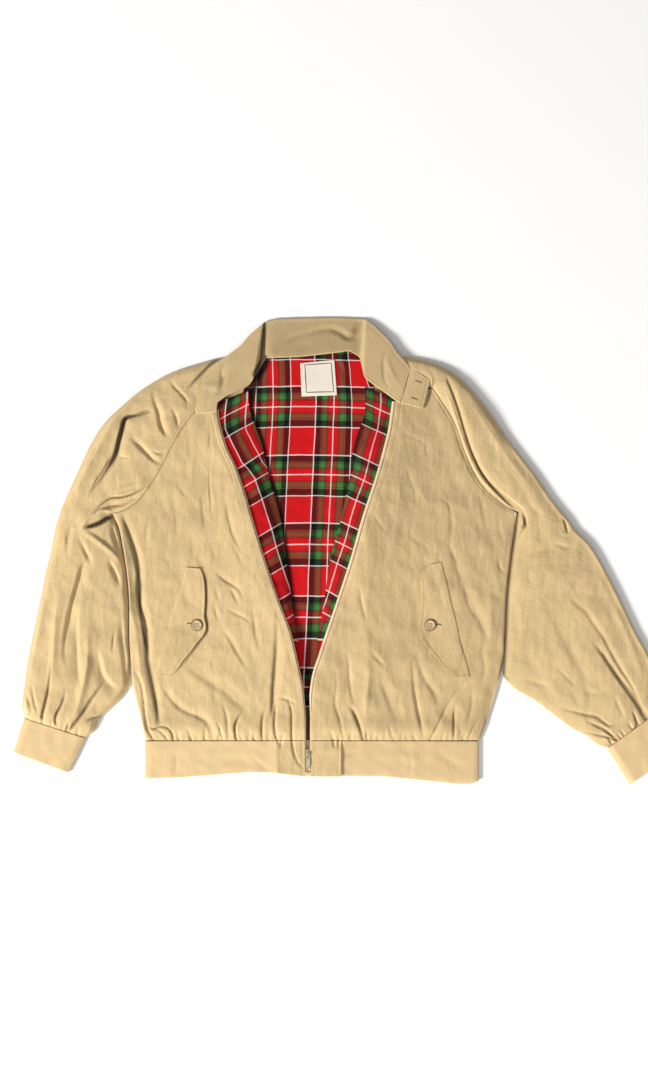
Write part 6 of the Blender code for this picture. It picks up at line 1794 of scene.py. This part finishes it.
def border():
    """A band 1.3 mm wide, 5 mm in from the label's edge: two loops through its corners, joined into a closed strip."""
    corners = np.array([(-63.8, 279.8), (-23.2, 282.8), (-19.5, 238.5), (-61.5, 237.5)])
    middle = corners.mean(axis=0)
    along = np.concatenate([np.linspace(corners[k], corners[(k + 1) % 4], 14)[:-1] for k in range(4)])
    along = np.vstack([along, along[:1]])
    rings = []
    for pull in (0.0, 1.3):
        toward = middle - along
        rings.append(along + toward / np.linalg.norm(toward, axis=1)[:, None] * pull)
    plan = np.stack(rings, axis=1).transpose(1, 0, 2)
    top = label_top(plan[..., 0], plan[..., 1], 0, 0) + 0.12
    outer = np.dstack([plan, top])
    piece = cloth_wall("label_border", outer, outer - [0, 0, 0.2], plan, BORDER_CLOTH, 0.0 * top, closed=2)
    dress(piece, "label_cloth")


border()

# %% topstitching
STITCH_PITCH = 2.7


def stitches(name, lines):
    """A thread piece 2 mm long for each pitch along every line, raised by 0.12 mm."""
    parts = [along_line(line + [0, 0, 0.12], STITCH_PITCH) for line in lines]
    points, forward, sideways = (np.concatenate([part[k] for part in parts]) for k in range(3))
    piece = studs(name, points, forward, sideways, (2.1, 0.55, 0.4), THREAD)
    dress(piece, "cotton_shell")


def lines_in(grid, *columns):
    """Lines down a grid, along these columns, that stop short of its ends."""
    return [grid[2:-2, column] for column in columns]


def ends_in(grid, *rows):
    """Lines across it, along these rows."""
    return [grid[row, 3:-3] for row in rows]


stitches("collar_stitches", lines_in(COLLAR_GRID, -6, 4) + ends_in(COLLAR_GRID, 4))
stitches("tab_stitches", lines_in(TAB_GRID, -6) + ends_in(TAB_GRID, 5, -6))
for side, grid in FLAP_GRIDS.items():
    stitches(f"{side}_flap_stitches", lines_in(grid, -6) + ends_in(grid, 5, -6))
stitches("right_front_stitches", [RIGHT_FRONT[4:, -8], RIGHT_FRONT[-100:, 4]])
stitches("left_front_stitches", [LEFT_FRONT[4:, -8], LEFT_FRONT[-100:, 4]])
stitches("right_tab_stitches", lines_in(RIGHT_TAB, 5, -6))
stitches("left_tab_stitches", lines_in(LEFT_TAB, 5, -6))
print("stitch lines are in")

# %% buttonholes
def height_on(grid, spots):
    """Height of the grid's nearest point to each spot."""
    flat = grid.reshape(-1, 3)
    nearest = np.linalg.norm(flat[None, :, :2] - np.array(spots)[:, None, :], axis=2).argmin(axis=1)
    return flat[nearest, 2]


def buttonhole(name, grid, start, end):
    """Two rows of close thread pieces along the cut, and a near-black stud in it as its painted shade."""
    spots = np.linspace(start, end, 12)
    line = np.column_stack([spots, height_on(grid, spots) + 0.25])
    points, forward, sideways = along_line(line, 0.75)
    both = np.concatenate([points + sideways * 0.9, points - sideways * 0.9])
    piece = studs(name, both, np.concatenate([sideways, sideways]), -np.concatenate([forward, forward]),
                  (1.5, 0.7, 0.5), THREAD)
    dress(piece, "cotton_shell")
    # painted shade: a near-black stud fills the cut, where the opening lies in shade
    slit = studs(name + "_slit", points, forward, sideways, (1.6, 1.3, 0.5), BORDER_CLOTH)
    dress(slit, "cotton_shell")


buttonhole("right_flap_buttonhole", FLAP_GRIDS["right"], (-239.0, -108.5), (-232.0, -108.5))
buttonhole("left_flap_buttonhole", FLAP_GRIDS["left"], (133.5, -109.5), (141.0, -110.5))
buttonhole("tab_buttonhole_upper", TAB_GRID, (102.5, 255.0), (111.0, 252.0))
buttonhole("tab_buttonhole_lower", TAB_GRID, (96.5, 229.5), (105.0, 226.5))
print("four buttonholes are in")

# %% [markdown]
# ## Buttons, slider and pull
#
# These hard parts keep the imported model's shape. The buttons are a horn look: warm brown, polished, with soft
# streaks. The slider is plated metal, a little dull, with fine scratches from use.

# %% finishes of the hard parts
def grain(tree, stretch, patches):
    """Fine streaks and soft patches on a hard part: two noises over its own coordinates."""
    where = add(tree, "ShaderNodeTexCoord").outputs["Object"]
    return noise(tree, stretched(tree, where, *stretch), 1.0, 4.0), noise(tree, where, patches, 3.0)


def horn(name):
    """Warm brown with pale streaks and dark clouds, under a thin clear coat."""
    made, tree, shader = new_material(name)
    streaks, clouds = grain(tree, (90.0, 420.0, 90.0), 160.0)
    base = mixed(tree, spans(tree, streaks, 0.35, 0.65), (0.46, 0.33, 0.17), (0.68, 0.53, 0.33))
    base = mixed(tree, spans(tree, clouds, 0.45, 0.75, 0.0, 0.4), base, (0.30, 0.20, 0.10))
    tree.links.new(base, shader.inputs["Base Color"])
    tree.links.new(spans(tree, clouds, 0.3, 0.7, 0.24, 0.42), shader.inputs["Roughness"])
    shader.inputs["Coat Weight"].default_value = 0.3
    bumps(tree, shader, (streaks, 0.1, 0.0002))
    return made


def worn_metal(name):
    """Pale plating, worn darker in patches, with scratches that make it rougher."""
    made, tree, shader = new_material(name)
    scratches, patches = grain(tree, (1500.0, 120.0, 400.0), 300.0)
    base = mixed(tree, spans(tree, patches, 0.35, 0.7), (0.86, 0.76, 0.57), (0.60, 0.49, 0.31))
    tree.links.new(base, shader.inputs["Base Color"])
    tree.links.new(spans(tree, scratches, 0.3, 0.7, 0.34, 0.6), shader.inputs["Roughness"])
    shader.inputs["Metallic"].default_value = 1.0
    bumps(tree, shader, (scratches, 0.15, 0.0001))
    return made


HORN, METAL = horn("horn_button"), worn_metal("plated_zip_metal")
for node, finish in (("right_flap_button", HORN), ("left_flap_button", HORN), ("zip_slider", METAL),
                     ("zip_pull", METAL)):
    slots = bpy.data.objects[node].data.materials
    slots.clear()
    slots.append(finish)


def button_thread(side, node):
    """Four threads crossing the dished middle: two long studs each way."""
    low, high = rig.box(node)
    centre = np.array([(low[0] + high[0]) / 2, (low[1] + high[1]) / 2, high[2]]) / MM - [0, 0, 0.55]
    places = centre + np.array([(-1.9, 0, 0), (1.9, 0, 0), (0, -1.9, 0), (0, 1.9, 0)])
    ahead = np.array([(0.0, 1, 0), (0, 1, 0), (1, 0, 0), (1, 0, 0)])
    aside = np.array([(-1.0, 0, 0), (-1, 0, 0), (0, 1, 0), (0, 1, 0)])
    piece = studs(f"{side}_button_thread", places, ahead, aside, (4.6, 1.1, 0.8), THREAD)
    dress(piece, "cotton_shell")


button_thread("right", "right_flap_button")
button_thread("left", "left_flap_button")
print("hard parts finished")

# %% [markdown]
# ## Floor, light and camera
#
# The jacket lies on a plain pale floor. A large soft lamp stands far off at its lower left, low enough to rake the
# folds, a weak one stands below, and the pale surroundings fill the shadows. The camera looks straight down from a
# bit over two metres.

# %% floor
def floor():
    """A square of pale paper, 12 m wide, just below the jacket."""
    mesh = bpy.data.meshes.new("pale_floor")
    mesh.from_pydata([(-6, -6, -0.0004), (6, -6, -0.0004), (6, 6, -0.0004), (-6, 6, -0.0004)], [], [(0, 1, 2, 3)])
    made, tree, shader = new_material("pale_paper")
    where = add(tree, "ShaderNodeTexCoord").outputs["Object"]
    base = mixed(tree, noise(tree, where, 2.0, 2.0), (0.93, 0.93, 0.93), (0.96, 0.96, 0.955))
    tree.links.new(base, shader.inputs["Base Color"])
    shader.inputs["Roughness"].default_value = 0.9
    mesh.materials.append(made)
    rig.stage(placed("pale_floor", mesh))


floor()
print("floor is in")

# %% lamps and surroundings
def soft_lamp(name, place, size, power):
    """A square lamp turned so that its -Z points from its place to the jacket's middle."""
    lamp = bpy.data.lights.new(name, "AREA")
    lamp.size, lamp.energy = size, power
    lamp.color = (1.0, 0.985, 0.96)
    x, y, z = place
    holder = placed(name, lamp)
    holder.location = place
    holder.rotation_euler = (math.atan2(math.hypot(x, y), z), 0.0, math.atan2(-y, -x) - math.pi / 2)


soft_lamp("key_lamp", (-6.7, -3.9, 4.1), 1.9, 1150.0)
soft_lamp("low_lamp", (0.25, -2.3, 1.5), 1.6, 20.0)
world = bpy.data.worlds.new("pale_room")
world.use_nodes = True
sky = world.node_tree.nodes["Background"]
sky.inputs["Color"].default_value = (1.0, 1.0, 1.0, 1.0)
sky.inputs["Strength"].default_value = 0.36
bpy.context.scene.world = world
bpy.context.scene.view_settings.view_transform = "Standard"
print("lamps:", [lamp.name for lamp in bpy.data.lights])

# %% camera
CAMERA_HEIGHT = 2.256
lens = bpy.data.cameras.new("camera_above")
lens.lens, lens.sensor_height, lens.sensor_fit = 50.0, 36.0, "VERTICAL"
camera = placed("camera_above", lens)
camera.location = (-0.0345, 0.0165, CAMERA_HEIGHT)
bpy.context.scene.camera = camera
print("camera looks down from", CAMERA_HEIGHT, "m")

# %% the boxes of the imported model and of the dressed jacket, written out
DRESSED_BOX = [list(corner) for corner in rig.bounds()]
with open("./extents.json", "w") as out:
    json.dump({"cad": [[float(v) for v in corner] for corner in CAD_BOX],
               "scene": [[float(v) for v in corner] for corner in DRESSED_BOX]}, out)
print("box of the dressed jacket:", DRESSED_BOX)
